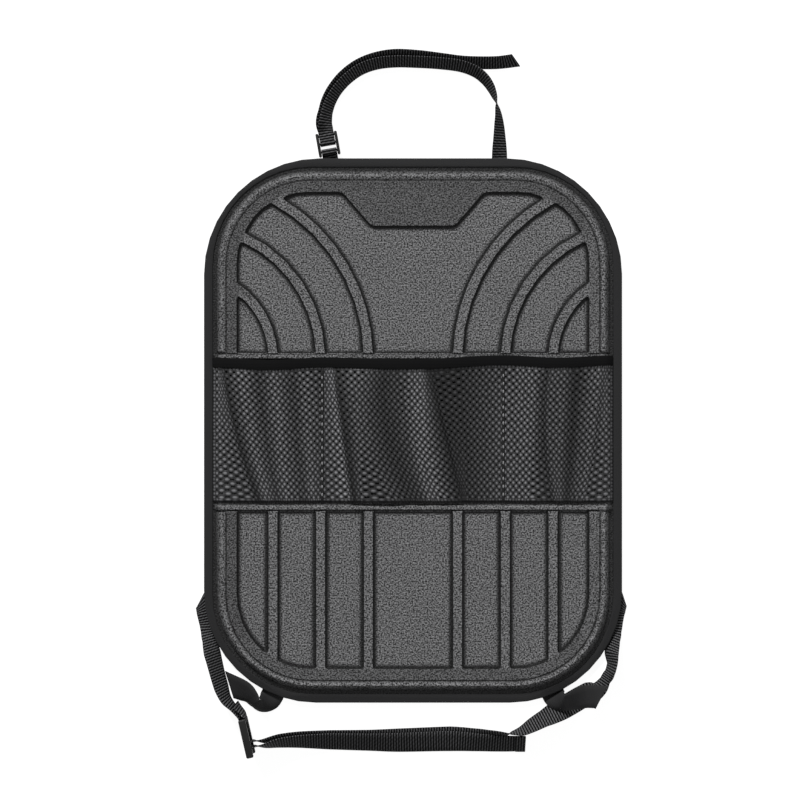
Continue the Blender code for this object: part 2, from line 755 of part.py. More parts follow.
def left_corner_strap(finish):
    """From under the left side down to the large buckle, looped round its sewn bar."""
    wrap = SEAT_BAR_RADIUS + GAP + WEBBING / 2
    sewn = SEAT_BARS[0]
    clear = SEAT_RAIL_WIDTH + BUCKLE_PLAY
    stations = [
        from_left(-0.0034, 0.1094, 0.0, 180, 50, 0.62),
        from_left(0.0000, 0.0945, 0.0, 180, 0, 0.68),
        from_left(0.0024, 0.0840, 0.0, 180, 0, 0.67),
        from_left(0.0030, 0.0750, 0.0, 172, 0, 0.55),
        from_left(0.0054, 0.0660, 0.0, 148, 0, 0.66),
        from_left(0.0088, 0.0540, 0.0003, 131, 0, 0.97),
        from_left(0.0112, 0.0450, 0.0004, 126),
        from_left(0.0146, 0.0317, 0.0008, 123),
        from_left(0.0190, 0.0168, 0.0014, 121),
        from_left(0.0240, 0.0050, 0.0026, 110),
        from_left(0.0310, -0.0030, 0.0034, 100),
        by_seat_buckle(-0.0025, -wrap - 0.0004, clear, 92),
        *[by_seat_buckle(place, aside, clear, 90) for place, aside in bar_turn(sewn, 1, wrap, -90, 90)],
        by_seat_buckle(-0.0035, wrap, clear, 88),
        from_left(0.0373, -0.0042, 0.0034, 82),
        from_left(0.0335, 0.0002, 0.0030, 78),
    ]
    return ribbon("left_corner_strap", SEAT_WEBBING_WIDTH, WEBBING, stations, finish)


def left_brace_strap(finish):
    """From under the bottom edge, turned back to the left corner strap."""
    stations = [
        from_left(0.0745, 0.0150, 0.0, 180),
        from_left(0.0729, 0.0102, 0.0, 180),
        from_left(0.0712, 0.0066, 0.0, 180),
        from_left(0.0680, 0.0018, 0.0003, 160),
        from_left(0.0620, -0.0022, 0.0006, 132),
        from_left(0.0552, 0.0002, 0.0010, 122),
        from_left(0.0495, 0.0072, 0.0010, 138),
        from_left(0.0420, 0.0126, 0.0006, 158, 8),
        from_left(0.0264, 0.0185, 0.0, 180, 37),
    ]
    return ribbon("left_brace_strap", SEAT_WEBBING_WIDTH, WEBBING, stations, finish)


def seat_strap(finish):
    """From under the right side, across below the panel, round the large buckle's bar and back."""
    wrap = SEAT_BAR_RADIUS + GAP + WEBBING / 2
    middle = SEAT_BARS[1]
    clear = SEAT_RAIL_WIDTH + BUCKLE_PLAY
    stations = [
        from_right(0.0024, 0.1103, 0.0, 0, -51, 0.48),
        from_right(-0.0026, 0.0960, 0.0, 0, 0, 0.55),
        from_right(-0.0035, 0.0840, 0.0, 0, 0, 0.40),
        from_right(-0.0045, 0.0750, 0.0, 8, 0, 0.36),
        from_right(-0.0073, 0.0660, 0.0, 38, 0, 0.51),
        from_right(-0.0113, 0.0544, 0.0003, 56, 0, 0.93),
        from_right(-0.0113, 0.0470, 0.0004, 65),
        from_right(-0.0113, 0.0407, 0.0005, 72),
        from_right(-0.0136, 0.0325, 0.0006, 73),
        from_right(-0.0180, 0.0237, 0.0006, 50, 0, 0.60),
        from_right(-0.0245, 0.0142, 0.0005, 22, 0, 0.72),
        from_right(-0.0335, 0.0098, 0.0003, 6),
        from_right(-0.0442, 0.0042, 0.0003, 0),
        from_right(-0.0564, -0.0026, 0.0003, 10),
        from_right(-0.0679, -0.0084, 0.0003, 30),
        from_right(-0.0826, -0.0158, 0.0003, 54),
        from_right(-0.0947, -0.0225, 0.0003, 63),
        from_right(-0.1055, -0.0284, 0.0003, 76),
        from_right(-0.1158, -0.0308, 0.0003, 92),
        from_right(-0.1284, -0.0335, 0.0003, 118),
        from_right(-0.1495, -0.0360, 0.0003, 145),
        from_right(-0.1810, -0.0354, 0.0003, 157),
        from_left(0.2063, -0.0368, 0.0003, 152),
        from_left(0.1747, -0.0371, 0.0003, 145),
        from_left(0.1326, -0.0368, 0.0003, 141),
        from_left(0.1010, -0.0361, 0.0006, 130),
        from_left(0.0800, -0.0368, 0.0016, 121),
        from_left(0.0640, -0.0388, 0.0030, 108),
        by_seat_buckle(middle - wrap - 0.0003, 0.0055, clear, 94),
        *[by_seat_buckle(middle + along, aside, clear, 90) for aside, along in bar_turn(0, -1, wrap, -90, 90)],
        by_seat_buckle(middle + wrap + 0.0003, 0.0055, clear, 86),
        from_left(0.0650, -0.0438, 0.0030, 72),
        from_left(0.0800, -0.0412, 0.0016, 59),
        from_left(0.1010, -0.0400, 0.0006, 50),
        from_left(0.1326, -0.0402, 0.0003, 39),
        from_left(0.1747, -0.0411, 0.0003, 35),
        from_left(0.2063, -0.0415, 0.0003, 28),
        from_right(-0.1810, -0.0403, 0.0003, 23),
        from_right(-0.1495, -0.0415, 0.0003, 34),
        from_right(-0.1284, -0.0424, 0.0003, 39),
        from_right(-0.1130, -0.0425, 0.0003, 41),
        from_right(-0.1021, -0.0425, 0.0003, 41),
    ]
    return ribbon("seat_strap", SEAT_WEBBING_WIDTH, WEBBING, stations, finish)


def right_brace_strap(finish):
    """From under the bottom edge, arched over the seat strap to the right corner."""
    stations = [
        from_right(-0.0747, 0.0162, 0.0, 0),
        from_right(-0.0717, 0.0078, 0.0, 0),
        from_right(-0.0683, 0.0036, 0.0046, 26),
        from_right(-0.0626, 0.0014, 0.0100, 44),
        from_right(-0.0547, 0.0032, 0.0108, 34),
        from_right(-0.0465, 0.0058, 0.0108, 18),
        from_right(-0.0385, 0.0075, 0.0116, 4),
        from_right(-0.0305, 0.0077, 0.0142, 0),
        from_right(-0.0230, 0.0077, 0.0180, 0, -30),
    ]
    return ribbon("right_brace_strap", SEAT_WEBBING_WIDTH, WEBBING, stations, finish)


# The mesh is worked out along lines that follow its pleats. Each line gives x at the
# band, half way and at the hem, then its height above the flat mesh at those places.
# x counts from the side or seam named before it, for a panel of the usual width.
USUAL_WIDTH = 0.440
SEAM_LEFT = -0.217 * PANEL_WIDTH
SEAM_RIGHT = 0.2155 * PANEL_WIDTH
PLEAT_LINES = (
    ("side_left", 0.0000, 0.0000, 0.0000, 0.0, 0.0, 0.0),
    ("side_left", 0.0066, 0.0066, 0.0066, 0.0002, 0.0002, 0.0),
    ("side_left", 0.0088, 0.0230, 0.0440, 0.0010, 0.0015, 0.0003),
    ("side_left", 0.0116, 0.0262, 0.0490, 0.0044, 0.0062, 0.0015),
    ("side_left", 0.0290, 0.0400, 0.0580, 0.0070, 0.0045, 0.0010),
    ("side_left", 0.0480, 0.0560, 0.0670, 0.0078, 0.0026, 0.0006),
    ("side_left", 0.0640, 0.0705, 0.0775, 0.0078, 0.0052, 0.0010),
    ("side_left", 0.0820, 0.0890, 0.0955, 0.0068, 0.0022, 0.0005),
    ("side_left", 0.0945, 0.1000, 0.1040, 0.0030, 0.0026, 0.0004),
    ("seam_left", 0.0000, 0.0000, 0.0000, 0.0, 0.0, 0.0),
    ("seam_left", 0.0095, 0.0195, 0.0280, 0.0020, 0.0012, 0.0003),
    ("seam_left", 0.0135, 0.0240, 0.0335, 0.0045, 0.0090, 0.0028),
    ("seam_left", 0.0310, 0.0370, 0.0420, 0.0075, 0.0085, 0.0034),
    ("seam_left", 0.0470, 0.0490, 0.0720, 0.0090, 0.0092, 0.0050),
    ("seam_left", 0.0640, 0.0690, 0.0930, 0.0095, 0.0052, 0.0020),
    ("seam_left", 0.0800, 0.0860, 0.1060, 0.0095, 0.0090, 0.0032),
    ("seam_left", 0.0940, 0.0960, 0.1150, 0.0090, 0.0062, 0.0020),
    ("seam_left", 0.1040, 0.1085, 0.1240, 0.0085, 0.0086, 0.0030),
    ("seam_left", 0.1105, 0.1270, 0.1460, 0.0080, 0.0082, 0.0022),
    ("seam_left", 0.1150, 0.1310, 0.1490, 0.0075, 0.0020, 0.0003),
    ("seam_left", 0.1470, 0.1490, 0.1515, 0.0045, 0.0032, 0.0005),
    ("seam_right", 0.0000, 0.0000, 0.0000, 0.0, 0.0, 0.0),
    ("seam_right", 0.0150, 0.0120, 0.0100, 0.0030, 0.0016, 0.0003),
    ("seam_right", 0.0320, 0.0300, 0.0280, 0.0066, 0.0042, 0.0010),
    ("seam_right", 0.0470, 0.0420, 0.0510, 0.0080, 0.0018, 0.0003),
    ("seam_right", 0.0510, 0.0470, 0.0555, 0.0082, 0.0074, 0.0015),
    ("seam_right", 0.0620, 0.0600, 0.0590, 0.0082, 0.0072, 0.0020),
    ("seam_right", 0.0750, 0.0730, 0.0665, 0.0078, 0.0028, 0.0010),
    ("seam_right", 0.0890, 0.0820, 0.0730, 0.0050, 0.0060, 0.0015),
    ("seam_right", 0.1010, 0.0940, 0.0820, 0.0040, 0.0052, 0.0010),
    ("seam_right", 0.1055, 0.0985, 0.0865, 0.0020, 0.0012, 0.0003),
    ("side_right", -0.0066, -0.0066, -0.0066, 0.0002, 0.0002, 0.0),
    ("side_right", 0.0000, 0.0000, 0.0000, 0.0, 0.0, 0.0),
)


def pocket_side():
    """Where the mesh and the band stop at each side, just clear of the binding."""
    return HALF_WIDTH - TAPE_FRONT - 2 * GAP


def pleat_start(name):
    side = pocket_side()
    return {"side_left": -side, "seam_left": SEAM_LEFT, "seam_right": SEAM_RIGHT, "side_right": side}[name]


def band_place(x):
    """Middle line of the elastic band at x: its y and the height of its underside."""
    side = pocket_side()
    rows = (
        (-side, -0.0033, 0.0),
        (-0.341 * PANEL_WIDTH, -0.0063, 0.0066),
        (SEAM_LEFT, -0.0033, 0.0004),
        (0.0, -0.0055, 0.0090),
        (SEAM_RIGHT, -0.0010, 0.0004),
        (0.341 * PANEL_WIDTH, -0.0037, 0.0066),
        (side, -0.0013, 0.0),
    )
    x = min(max(x, -side), side)
    y = POCKET_TOP
    height = LAND_LEVEL + GAP
    for first, second in zip(rows, rows[1:]):
        if first[0] <= x <= second[0]:
            share = (x - first[0]) / (second[0] - first[0])
            blend = share * share * (3 - 2 * share)
            y += first[1] + (second[1] - first[1]) * blend
            height += first[2] + (second[2] - first[2]) * blend
            break
    inset = HALF_WIDTH - abs(x)
    for (low, below), (high, above) in zip(roll_rings(), roll_rings()[1:]):
        if low <= inset <= high and above["bead"] < LAND_LEVEL:
            share = (inset - low) / (high - low)
            height = min(height, below["bead"] + (above["bead"] - below["bead"]) * share + GAP * 2)
    if inset < roll_rings()[0][0]:
        height = FLANGE_TOP + 2 * GAP
    return y, height


def pocket_elastic(finish):
    """Woven elastic sewn along the mouth of the pocket, held down at the sides and seams."""
    side = pocket_side()
    places = [-side, -side + 0.0016, -side + 0.0035, -side + 0.0056, -side + 0.0080, -side + 0.012]
    places += [(side - 0.0202) * (step / 19 - 1) for step in range(39)]
    places += [side - 0.012, side - 0.0080, side - 0.0056, side - 0.0035, side - 0.0016, side]
    shape = bmesh.new()
    rows = []
    half = ELASTIC_WIDTH / 2
    for x in sorted(places):
        y, height = band_place(x)
        top = height + ELASTIC_THICKNESS
        corners = ((y - half, height), (y + half, height), (y + half, top), (y - half, top))
        rows.append([shape.verts.new((x, *corner)) for corner in corners])
    for first, second in zip(rows, rows[1:]):
        for index in range(4):
            after = (index + 1) % 4
            shape.faces.new((first[index], first[after], second[after], second[index]))
    shape.faces.new(rows[0])
    shape.faces.new(list(reversed(rows[-1])))
    return add_object("pocket_elastic", shape, finish)


def quadratic(top, middle, foot, share):
    """Value at share, 0 at the hem, 0.5 half way and 1 at the band."""
    return foot * (2 * share - 1) * (share - 1) - 4 * middle * share * (share - 1) + top * share * (2 * share - 1)


def mesh_columns():
    """Pleat lines with one more line wherever two lie far apart."""
    lines = []
    stretch = PANEL_WIDTH / USUAL_WIDTH
    for name, *values in PLEAT_LINES:
        start = pleat_start(name)
        lines.append([start + value * stretch for value in values[:3]] + values[3:])
    made = [lines[0]]
    for before, after in zip(lines, lines[1:]):
        if after[1] - before[1] > 0.0118:
            made.append([(a + b) / 2 for a, b in zip(before, after)])
        made.append(after)
    return made


def mesh_point(line, share):
    """Underside of the mesh on a pleat line, share 0 at the hem and 1 at the band."""
    x = quadratic(*line[:3], share)
    band_y, band_height = band_place(line[0])
    head = band_y - ELASTIC_WIDTH / 2 - GAP
    foot = POCKET_BOTTOM + 2 * BAY_WALL
    y = foot + (head - foot) * share
    inset = HALF_WIDTH - abs(x)
    rest = FIELD_LEVEL + GAP
    flange = FLANGE_TOP + GAP
    ramp = min(max((inset - 0.0098) / 0.0062, 0), 1)
    flat = flange + (rest - flange) * ramp
    fold = max(quadratic(*line[3:], share), 0) * ramp
    height = flat + fold
    pull = max(share - 0.80, 0) / 0.20
    return Vector((x, y, height + (band_height - height) * pull ** 1.6))


def mesh_pocket(finish):
    """Knitted net, pleated into three bays, sewn down at the sides, the hem and two seams."""
    shape = bmesh.new()
    columns = mesh_columns()
    grid = []
    for line in columns:
        grid.append([shape.verts.new(mesh_point(line, row / MESH_ROWS)) for row in range(MESH_ROWS + 1)])
    cells = []
    for index in range(len(grid) - 1):
        for row in range(MESH_ROWS):
            face = shape.faces.new((grid[index][row], grid[index + 1][row],
                                    grid[index + 1][row + 1], grid[index][row + 1]))
            wide = min((face.verts[1].co - face.verts[0].co).length, (face.verts[2].co - face.verts[3].co).length)
            if (index + row) % 2 == 0 and wide > 4 * GAP_BORDER and 0 < row < MESH_ROWS - 1:
                cells.append(face)
    step = len(cells) / min(MESH_GAPS, len(cells))
    chosen = [cells[int(index * step)] for index in range(min(MESH_GAPS, len(cells)))]
    shape.normal_update()
    bmesh.ops.inset_individual(shape, faces=chosen, thickness=GAP_BORDER, use_even_offset=True)
    bmesh.ops.delete(shape, geom=chosen, context="FACES")
    under = bmesh.ops.extrude_face_region(shape, geom=shape.faces[:], use_keep_orig=True)
    raised = [item for item in under["geom"] if isinstance(item, bmesh.types.BMVert)]
    bmesh.ops.translate(shape, vec=(0, 0, MESH_THICKNESS), verts=raised)
    return add_object("mesh_pocket", shape, finish)


def build():
    clear_scene()
    foam = material("moulded_foam_cloth", (0.115, 0.115, 0.118), 0.75)
    tape = material("binding_tape", (0.022, 0.022, 0.023), 0.80)
    net = material("knitted_net", (0.050, 0.050, 0.052), 0.75)
    band = material("woven_elastic", (0.011, 0.011, 0.011), 0.75)
    webbing = material("webbing", (0.014, 0.014, 0.014), 0.70)
    plastic = material("buckle_plastic", (0.010, 0.010, 0.010), 0.40)
    moulded_panel(foam)
    edge_binding(tape)
    mesh_pocket(net)
    pocket_elastic(band)
    headrest_strap(webbing)
    headrest_tab(webbing)
    left_corner_strap(webbing)
    left_brace_strap(webbing)
    seat_strap(webbing)
    right_brace_strap(webbing)
    small = (HEADREST_BUCKLE_LENGTH, HEADREST_WEBBING_WIDTH, HEADREST_BAR_RADIUS,
             HEADREST_RAIL_WIDTH, HEADREST_RAIL_HEIGHT, HEADREST_BARS)
    ladder_buckle("headrest_buckle", small, headrest_placing(), plastic)
    large = (SEAT_BUCKLE_LENGTH, SEAT_WEBBING_WIDTH, SEAT_BAR_RADIUS,
             SEAT_RAIL_WIDTH, SEAT_RAIL_HEIGHT, SEAT_BARS)
    ladder_buckle("seat_buckle", large, seat_placing(), plastic)


build()
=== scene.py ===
import math

import bmesh
import bpy
from mathutils import Matrix, Vector


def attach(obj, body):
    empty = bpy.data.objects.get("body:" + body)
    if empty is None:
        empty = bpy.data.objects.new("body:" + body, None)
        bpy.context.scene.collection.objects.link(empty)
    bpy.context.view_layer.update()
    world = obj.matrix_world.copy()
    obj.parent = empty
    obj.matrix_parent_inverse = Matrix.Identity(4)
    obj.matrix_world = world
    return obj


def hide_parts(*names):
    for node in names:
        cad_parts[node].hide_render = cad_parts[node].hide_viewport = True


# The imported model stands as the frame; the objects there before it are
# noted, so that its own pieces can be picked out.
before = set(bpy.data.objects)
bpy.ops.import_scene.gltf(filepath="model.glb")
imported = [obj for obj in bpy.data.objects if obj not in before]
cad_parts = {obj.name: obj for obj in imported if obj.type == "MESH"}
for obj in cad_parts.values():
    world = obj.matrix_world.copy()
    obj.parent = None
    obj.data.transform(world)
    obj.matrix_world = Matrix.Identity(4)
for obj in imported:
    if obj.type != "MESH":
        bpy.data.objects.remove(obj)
scene = bpy.context.scene
scene.view_settings.view_transform = "Standard"
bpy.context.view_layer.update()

# Camera. It looks straight down on the protector from a good two metres,
# with the headrest end at the top of the picture.
FIELD_OF_VIEW = 0.8421
CAMERA_HEIGHT = 2.2
SENSOR_WIDTH = 36.0
VIEW_CENTRE = (-0.0137, 0.0321)
VIEW_LEVEL = 0.003
camera_data = bpy.data.cameras.new("camera")
camera_data.sensor_width = SENSOR_WIDTH
camera_data.lens = SENSOR_WIDTH * CAMERA_HEIGHT / FIELD_OF_VIEW
camera = bpy.data.objects.new("camera", camera_data)
camera.location = (*VIEW_CENTRE, CAMERA_HEIGHT + VIEW_LEVEL)
scene.collection.objects.link(camera)
scene.camera = camera

# Floor and world. A white table top that keeps the soft shadows under the
# straps, in an even pale surrounding.
FLOOR = -0.0016
FLOOR_GAP = 0.0004
FLOOR_SIZE = 6.0
TABLE_GREY = 0.20
TABLE_GLOW = 0.93
SURROUND_LEVEL = 0.22
floor_shape = bmesh.new()
bmesh.ops.create_grid(floor_shape, x_segments=1, y_segments=1, size=FLOOR_SIZE)
bmesh.ops.translate(floor_shape, vec=(0, 0, FLOOR - FLOOR_GAP), verts=floor_shape.verts)
floor_mesh = bpy.data.meshes.new("floor")
floor_shape.to_mesh(floor_mesh)
floor_shape.free()
floor = bpy.data.objects.new("floor", floor_mesh)
scene.collection.objects.link(floor)


def worked_out(tree, operation, *terms):
    """Result of a sum on the terms, which are sockets or plain numbers."""
    made = tree.nodes.new("ShaderNodeMath")
    made.operation = operation
    for socket, term in zip(made.inputs, terms):
        if isinstance(term, bpy.types.NodeSocket):
            tree.links.new(term, socket)
        else:
            socket.default_value = term
    return made.outputs[0]


def stretched(tree, value, start, end):
    """The value with its range from start laid over the range end."""
    made = tree.nodes.new("ShaderNodeMapRange")
    for name, number in zip(("From Min", "From Max", "To Min", "To Max"), (*start, *end)):
        made.inputs[name].default_value = number
    tree.links.new(value, made.inputs["Value"])
    return made.outputs["Result"]


def seen_directly(tree):
    """1 for rays from the camera and for reflections of it, else 0."""
    path = tree.nodes.new("ShaderNodeLightPath")
    either = worked_out(tree, "MAXIMUM", path.outputs["Is Camera Ray"], path.outputs["Is Glossy Ray"])
    return worked_out(tree, "MAXIMUM", either, path.outputs["Is Transmission Ray"])


table_white = bpy.data.materials.new("table_white")
table_white.use_nodes = True
table_tree = table_white.node_tree
table_tree.nodes.clear()
table_out = table_tree.nodes.new("ShaderNodeOutputMaterial")
table_diffuse = table_tree.nodes.new("ShaderNodeBsdfDiffuse")
table_diffuse.inputs["Color"].default_value = (TABLE_GREY, TABLE_GREY, TABLE_GREY, 1)
table_glow = table_tree.nodes.new("ShaderNodeEmission")
table_sum = table_tree.nodes.new("ShaderNodeAddShader")
glow_strength = worked_out(table_tree, "MULTIPLY", seen_directly(table_tree), TABLE_GLOW)
table_tree.links.new(glow_strength, table_glow.inputs["Strength"])
table_tree.links.new(table_diffuse.outputs[0], table_sum.inputs[0])
table_tree.links.new(table_glow.outputs[0], table_sum.inputs[1])
table_tree.links.new(table_sum.outputs[0], table_out.inputs["Surface"])
floor_mesh.materials.append(table_white)

world = bpy.data.worlds.new("studio")
scene.world = world
world.use_nodes = True
world_tree = world.node_tree
world_tree.nodes.clear()
world_out = world_tree.nodes.new("ShaderNodeOutputWorld")
world_light = world_tree.nodes.new("ShaderNodeBackground")
world_light.inputs["Color"].default_value = (1, 1, 1, 1)
world_level = stretched(world_tree, seen_directly(world_tree), (0, 1), (SURROUND_LEVEL, 1))
world_tree.links.new(world_level, world_light.inputs["Strength"])
world_tree.links.new(world_light.outputs[0], world_out.inputs["Surface"])


# Lamps. A broad soft box beyond the headrest end and a little to the left,
# and a weak one on the right, both turned to the protector's middle.
def soft_box(name, place, size, power):
    data = bpy.data.lights.new(name, "AREA")
    data.shape = "SQUARE"
    data.size = size
    data.energy = power
    lamp = bpy.data.objects.new(name, data)
    lamp.location = place
    lamp.rotation_euler = (-Vector(place)).to_track_quat("-Z", "Y").to_euler()
    scene.collection.objects.link(lamp)


soft_box("key_soft_box", (-2.48, 6.00, 4.08), size=1.7, power=830)
soft_box("right_soft_box", (2.90, -0.70, 2.40), size=1.2, power=30)

# Moulded panel. Thin foam between two layers of cloth, hot-press moulded into
# a rounded roll round the edge, raised ribs and sunk fields; its cloth has a
# fine pebble grain and painted shade in its hollows. It has the CAD solid's
# own shape, with its edges eased.
HALF_WIDTH = 0.220
HALF_HEIGHT = 0.2865
TOP_CORNER = 0.1125
FOOT_CORNER = 0.1140
LAND_LEVEL = 0.0095
FIELD_LEVEL = 0.0065
FLANGE_TOP = 0.0033
ROLL_GROOVE = 0.0087
WALL_FOOT = 0.0077
CHANNEL_SLACK = 0.00002
LEVEL_SLACK = 0.0001
FOOT_SLACK = 0.00012
FLANGE_SLACK = 0.0002
LAND_SLACK = 0.0003
ROLL_INSET = 0.0215
GROOVE_INSET = 0.0210
FIELD_INSET = 0.0300
RING = (0.0240, 0.0362)
RING_RIGHT = 0.180
RING_FOOT = -0.220
PLAQUE_HALF = 0.080
PLAQUE_FOOT = 0.2130
CHANNELS = ((0.07960, 0.08130), (-0.08470, -0.08270))
CHANNEL_FLOOR = 0.0081
CHANNEL_EASE = 0.0003
MERGE_REACH = 0.00002
FLAT_ANGLE = math.radians(0.6)
FACING_UP = 0.999
FIELD_AREA = 0.0004
CREASE_WIDTH = 0.0010
CORNER_WELD = 0.0020
SHADE_WIDTH = 0.0030
FOAM_COLOUR = (0.100, 0.100, 0.102)
# Painted shade on the panel: these tones darken the foam colour in the channels, the grooves and the wall
# feet, on the flange, on the roll's outer slope, darker towards the rim, and on the floor under the net. The
# land at the top and the ring inside the roll are drawn darker as well; 1 is the open field.
ROLL_TONES = ((0.0125, 0.20), (0.0150, 0.38), (0.0172, 0.62))
ROLL_SHADE = (0.0225, 0.0248)
TONES = {
    "long bay": 0.25,
    "channel": 0.05,
    "flange": 0.12,
    "wall foot": 0.06,
    "roll groove": 0.05,
    "plaque": 0.60,
    "ring right": 0.80,
    "ring foot": 0.67,
    "ring": 0.54,
    "roll shade": 0.82,
    "field foot": 0.05,
    "crease": 0.14,
    "open": 1.0,
}


def rim_inset(point):
    """How far a point lies inside the panel's moulded outline."""
    x = HALF_WIDTH - abs(point.x)
    y = HALF_HEIGHT - abs(point.y)
    corner = TOP_CORNER if point.y > 0 else FOOT_CORNER
    if x < corner and y < corner:
        return corner - math.hypot(corner - x, corner - y)
    return min(x, y)


def level_with(point, level, slack=LEVEL_SLACK):
    return abs(point.z - level) < slack


def in_long_bay(point):
    """Whether a point lies between the two channels, where the net covers the panel."""
    return CHANNELS[1][0] < point.y < CHANNELS[0][0]


def ring_tone(point):
    """How dark the flat ring inside the roll is drawn."""
    if point.x > RING_RIGHT:
        return TONES["ring right"]
    return TONES["ring foot"] if point.y < RING_FOOT else TONES["ring"]


def painted_shade_at(point):
    """Painted shade on the cloth at a point, 1 on the sunk fields."""
    inset = rim_inset(point)
    if level_with(point, FIELD_LEVEL) and in_long_bay(point):
        return TONES["long bay"]
    if level_with(point, CHANNEL_FLOOR, CHANNEL_SLACK):
        return TONES["channel"]
    if point.z < FLANGE_TOP + FLANGE_SLACK:
        return TONES["flange"]
    if level_with(point, WALL_FOOT, FOOT_SLACK) and inset > FIELD_INSET:
        return TONES["wall foot"]
    if level_with(point, ROLL_GROOVE, FOOT_SLACK) and inset > GROOVE_INSET:
        return TONES["roll groove"]
    for reach, tone in ROLL_TONES:
        if inset < reach:
            return tone
    on_land = point.z > LAND_LEVEL - LAND_SLACK
    if on_land and point.y > PLAQUE_FOOT and abs(point.x) < PLAQUE_HALF:
        return TONES["plaque"]
    if on_land and RING[0] < inset < RING[1]:
        return ring_tone(point)
    return TONES["roll shade"] if ROLL_SHADE[0] <= inset <= ROLL_SHADE[1] else TONES["open"]


def copied_shape(node):
    """A bmesh of a CAD node with its loose triangles merged into whole faces."""
    shape = bmesh.new()
    shape.from_mesh(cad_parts[node].data)
    bmesh.ops.remove_doubles(shape, verts=shape.verts, dist=MERGE_REACH)
    bmesh.ops.dissolve_limit(shape, angle_limit=FLAT_ANGLE, verts=shape.verts, edges=shape.edges)
    return shape


def finished_piece(name, shape, material, *, replaced=None):
    """An object of the shape that rides on the protector, in place of a CAD node."""
    mesh = bpy.data.meshes.new(name)
    shape.to_mesh(mesh)
    shape.free()
    mesh.materials.append(material)
    for face in mesh.polygons:
        face.use_smooth = True
    made = bpy.data.objects.new(name, mesh)
    scene.collection.objects.link(made)
    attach(made, "root")
    if replaced:
        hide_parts(replaced)
    return made


def eased_edges(piece, width, angle, segments=2):
    """Rounding on the piece's edges that turn by more than the angle in degrees."""
    eased = piece.modifiers.new("eased_edges", "BEVEL")
    eased.width = width
    eased.segments = segments
    eased.limit_method = "ANGLE"
    eased.angle_limit = math.radians(angle)


def cloth_material(name, colour, roughness, gloss=0.15):
    made = bpy.data.materials.new(name)
    made.use_nodes = True
    shader = made.node_tree.nodes["Principled BSDF"]
    shader.inputs["Base Color"].default_value = (*colour, 1)
    shader.inputs["Roughness"].default_value = roughness
    shader.inputs["Specular IOR Level"].default_value = gloss
    return made


def object_place(tree):
    """Places in the piece itself, for a grain that runs through it."""
    return tree.nodes.new("ShaderNodeTexCoord").outputs["Object"]


def painted(tree, name):
    """The shade that the piece's points carry under the name."""
    made = tree.nodes.new("ShaderNodeAttribute")
    made.attribute_name = name
    return made.outputs["Fac"]


def pattern(tree, kind, place, **settings):
    """A texture of the kind at the place, with its inputs set by name."""
    made = tree.nodes.new("ShaderNodeTex" + kind)
    tree.links.new(place, made.inputs["Vector"])
    for name, value in settings.items():
        made.inputs[name.replace("_", " ")].default_value = value
    return made


def roughen(tree, height, strength, distance, invert=False):
    """Fine relief of the cloth, as high as the given value says."""
    made = tree.nodes.new("ShaderNodeBump")
    made.invert = invert
    made.inputs["Strength"].default_value = strength
    made.inputs["Distance"].default_value = distance
    tree.links.new(height, made.inputs["Height"])
    tree.links.new(made.outputs["Normal"], tree.nodes["Principled BSDF"].inputs["Normal"])


def tint(tree, colour, tone):
    """Colour of the cloth, lighter or darker with the tone."""
    made = tree.nodes.new("ShaderNodeVectorMath")
    made.operation = "SCALE"
    made.inputs[0].default_value = colour
    tree.links.new(tone, made.inputs["Scale"])
    tree.links.new(made.outputs["Vector"], tree.nodes["Principled BSDF"].inputs["Base Color"])


foam_cloth = cloth_material("pebbled_foam_cloth", FOAM_COLOUR, roughness=0.62)
foam_tree = foam_cloth.node_tree
foam_place = object_place(foam_tree)
pebbles = pattern(foam_tree, "Voronoi", foam_place, Scale=760)
pebbles.feature = "SMOOTH_F1"
fibres = pattern(foam_tree, "Noise", foam_place, Scale=620, Detail=1)
patches = pattern(foam_tree, "Noise", foam_place, Scale=26, Detail=4)
grain = worked_out(foam_tree, "MULTIPLY_ADD", pebbles.outputs["Distance"], -0.8, fibres.outputs["Fac"])
roughen(foam_tree, grain, strength=0.75, distance=0.0009)
fleck = stretched(foam_tree, fibres.outputs["Fac"], (0.36, 0.64), (0.05, 1.95))
cloud = stretched(foam_tree, patches.outputs["Fac"], (0.30, 0.70), (0.95, 1.05))
mottle = worked_out(foam_tree, "MULTIPLY", fleck, cloud)
# The random mottle times the painted shade carried on the panel's points.
foam_tone = worked_out(foam_tree, "MULTIPLY", mottle, painted(foam_tree, "painted_shade"))
tint(foam_tree, FOAM_COLOUR, foam_tone)

panel_shape = copied_shape("moulded_panel")
for low, high in CHANNELS:
    for line in (low, low + CHANNEL_EASE, high - CHANNEL_EASE, high):
        bmesh.ops.bisect_plane(
            panel_shape,
            geom=panel_shape.verts[:] + panel_shape.edges[:] + panel_shape.faces[:],
            dist=MERGE_REACH / 2,
            plane_co=(0, line, 0),
            plane_no=(0, 1, 0),
        )
    for vert in panel_shape.verts:
        inside = low + CHANNEL_EASE / 2 < vert.co.y < high - CHANNEL_EASE / 2
        if inside and vert.co.z > LAND_LEVEL - FLANGE_SLACK and abs(vert.co.x) < HALF_WIDTH - ROLL_INSET:
            vert.co.z = CHANNEL_FLOOR
painted_shade_layer = panel_shape.verts.layers.float.new("painted_shade")
panel_shape.normal_update()


def field_floors():
    """The floors of the sunk fields, without the long bay below the net."""
    found = []
    for face in panel_shape.faces:
        centre = face.calc_center_median()
        flat = face.normal.z > FACING_UP and level_with(centre, FIELD_LEVEL)
        if flat and face.calc_area() > FIELD_AREA and not in_long_bay(centre):
            found.append(face)
    return found
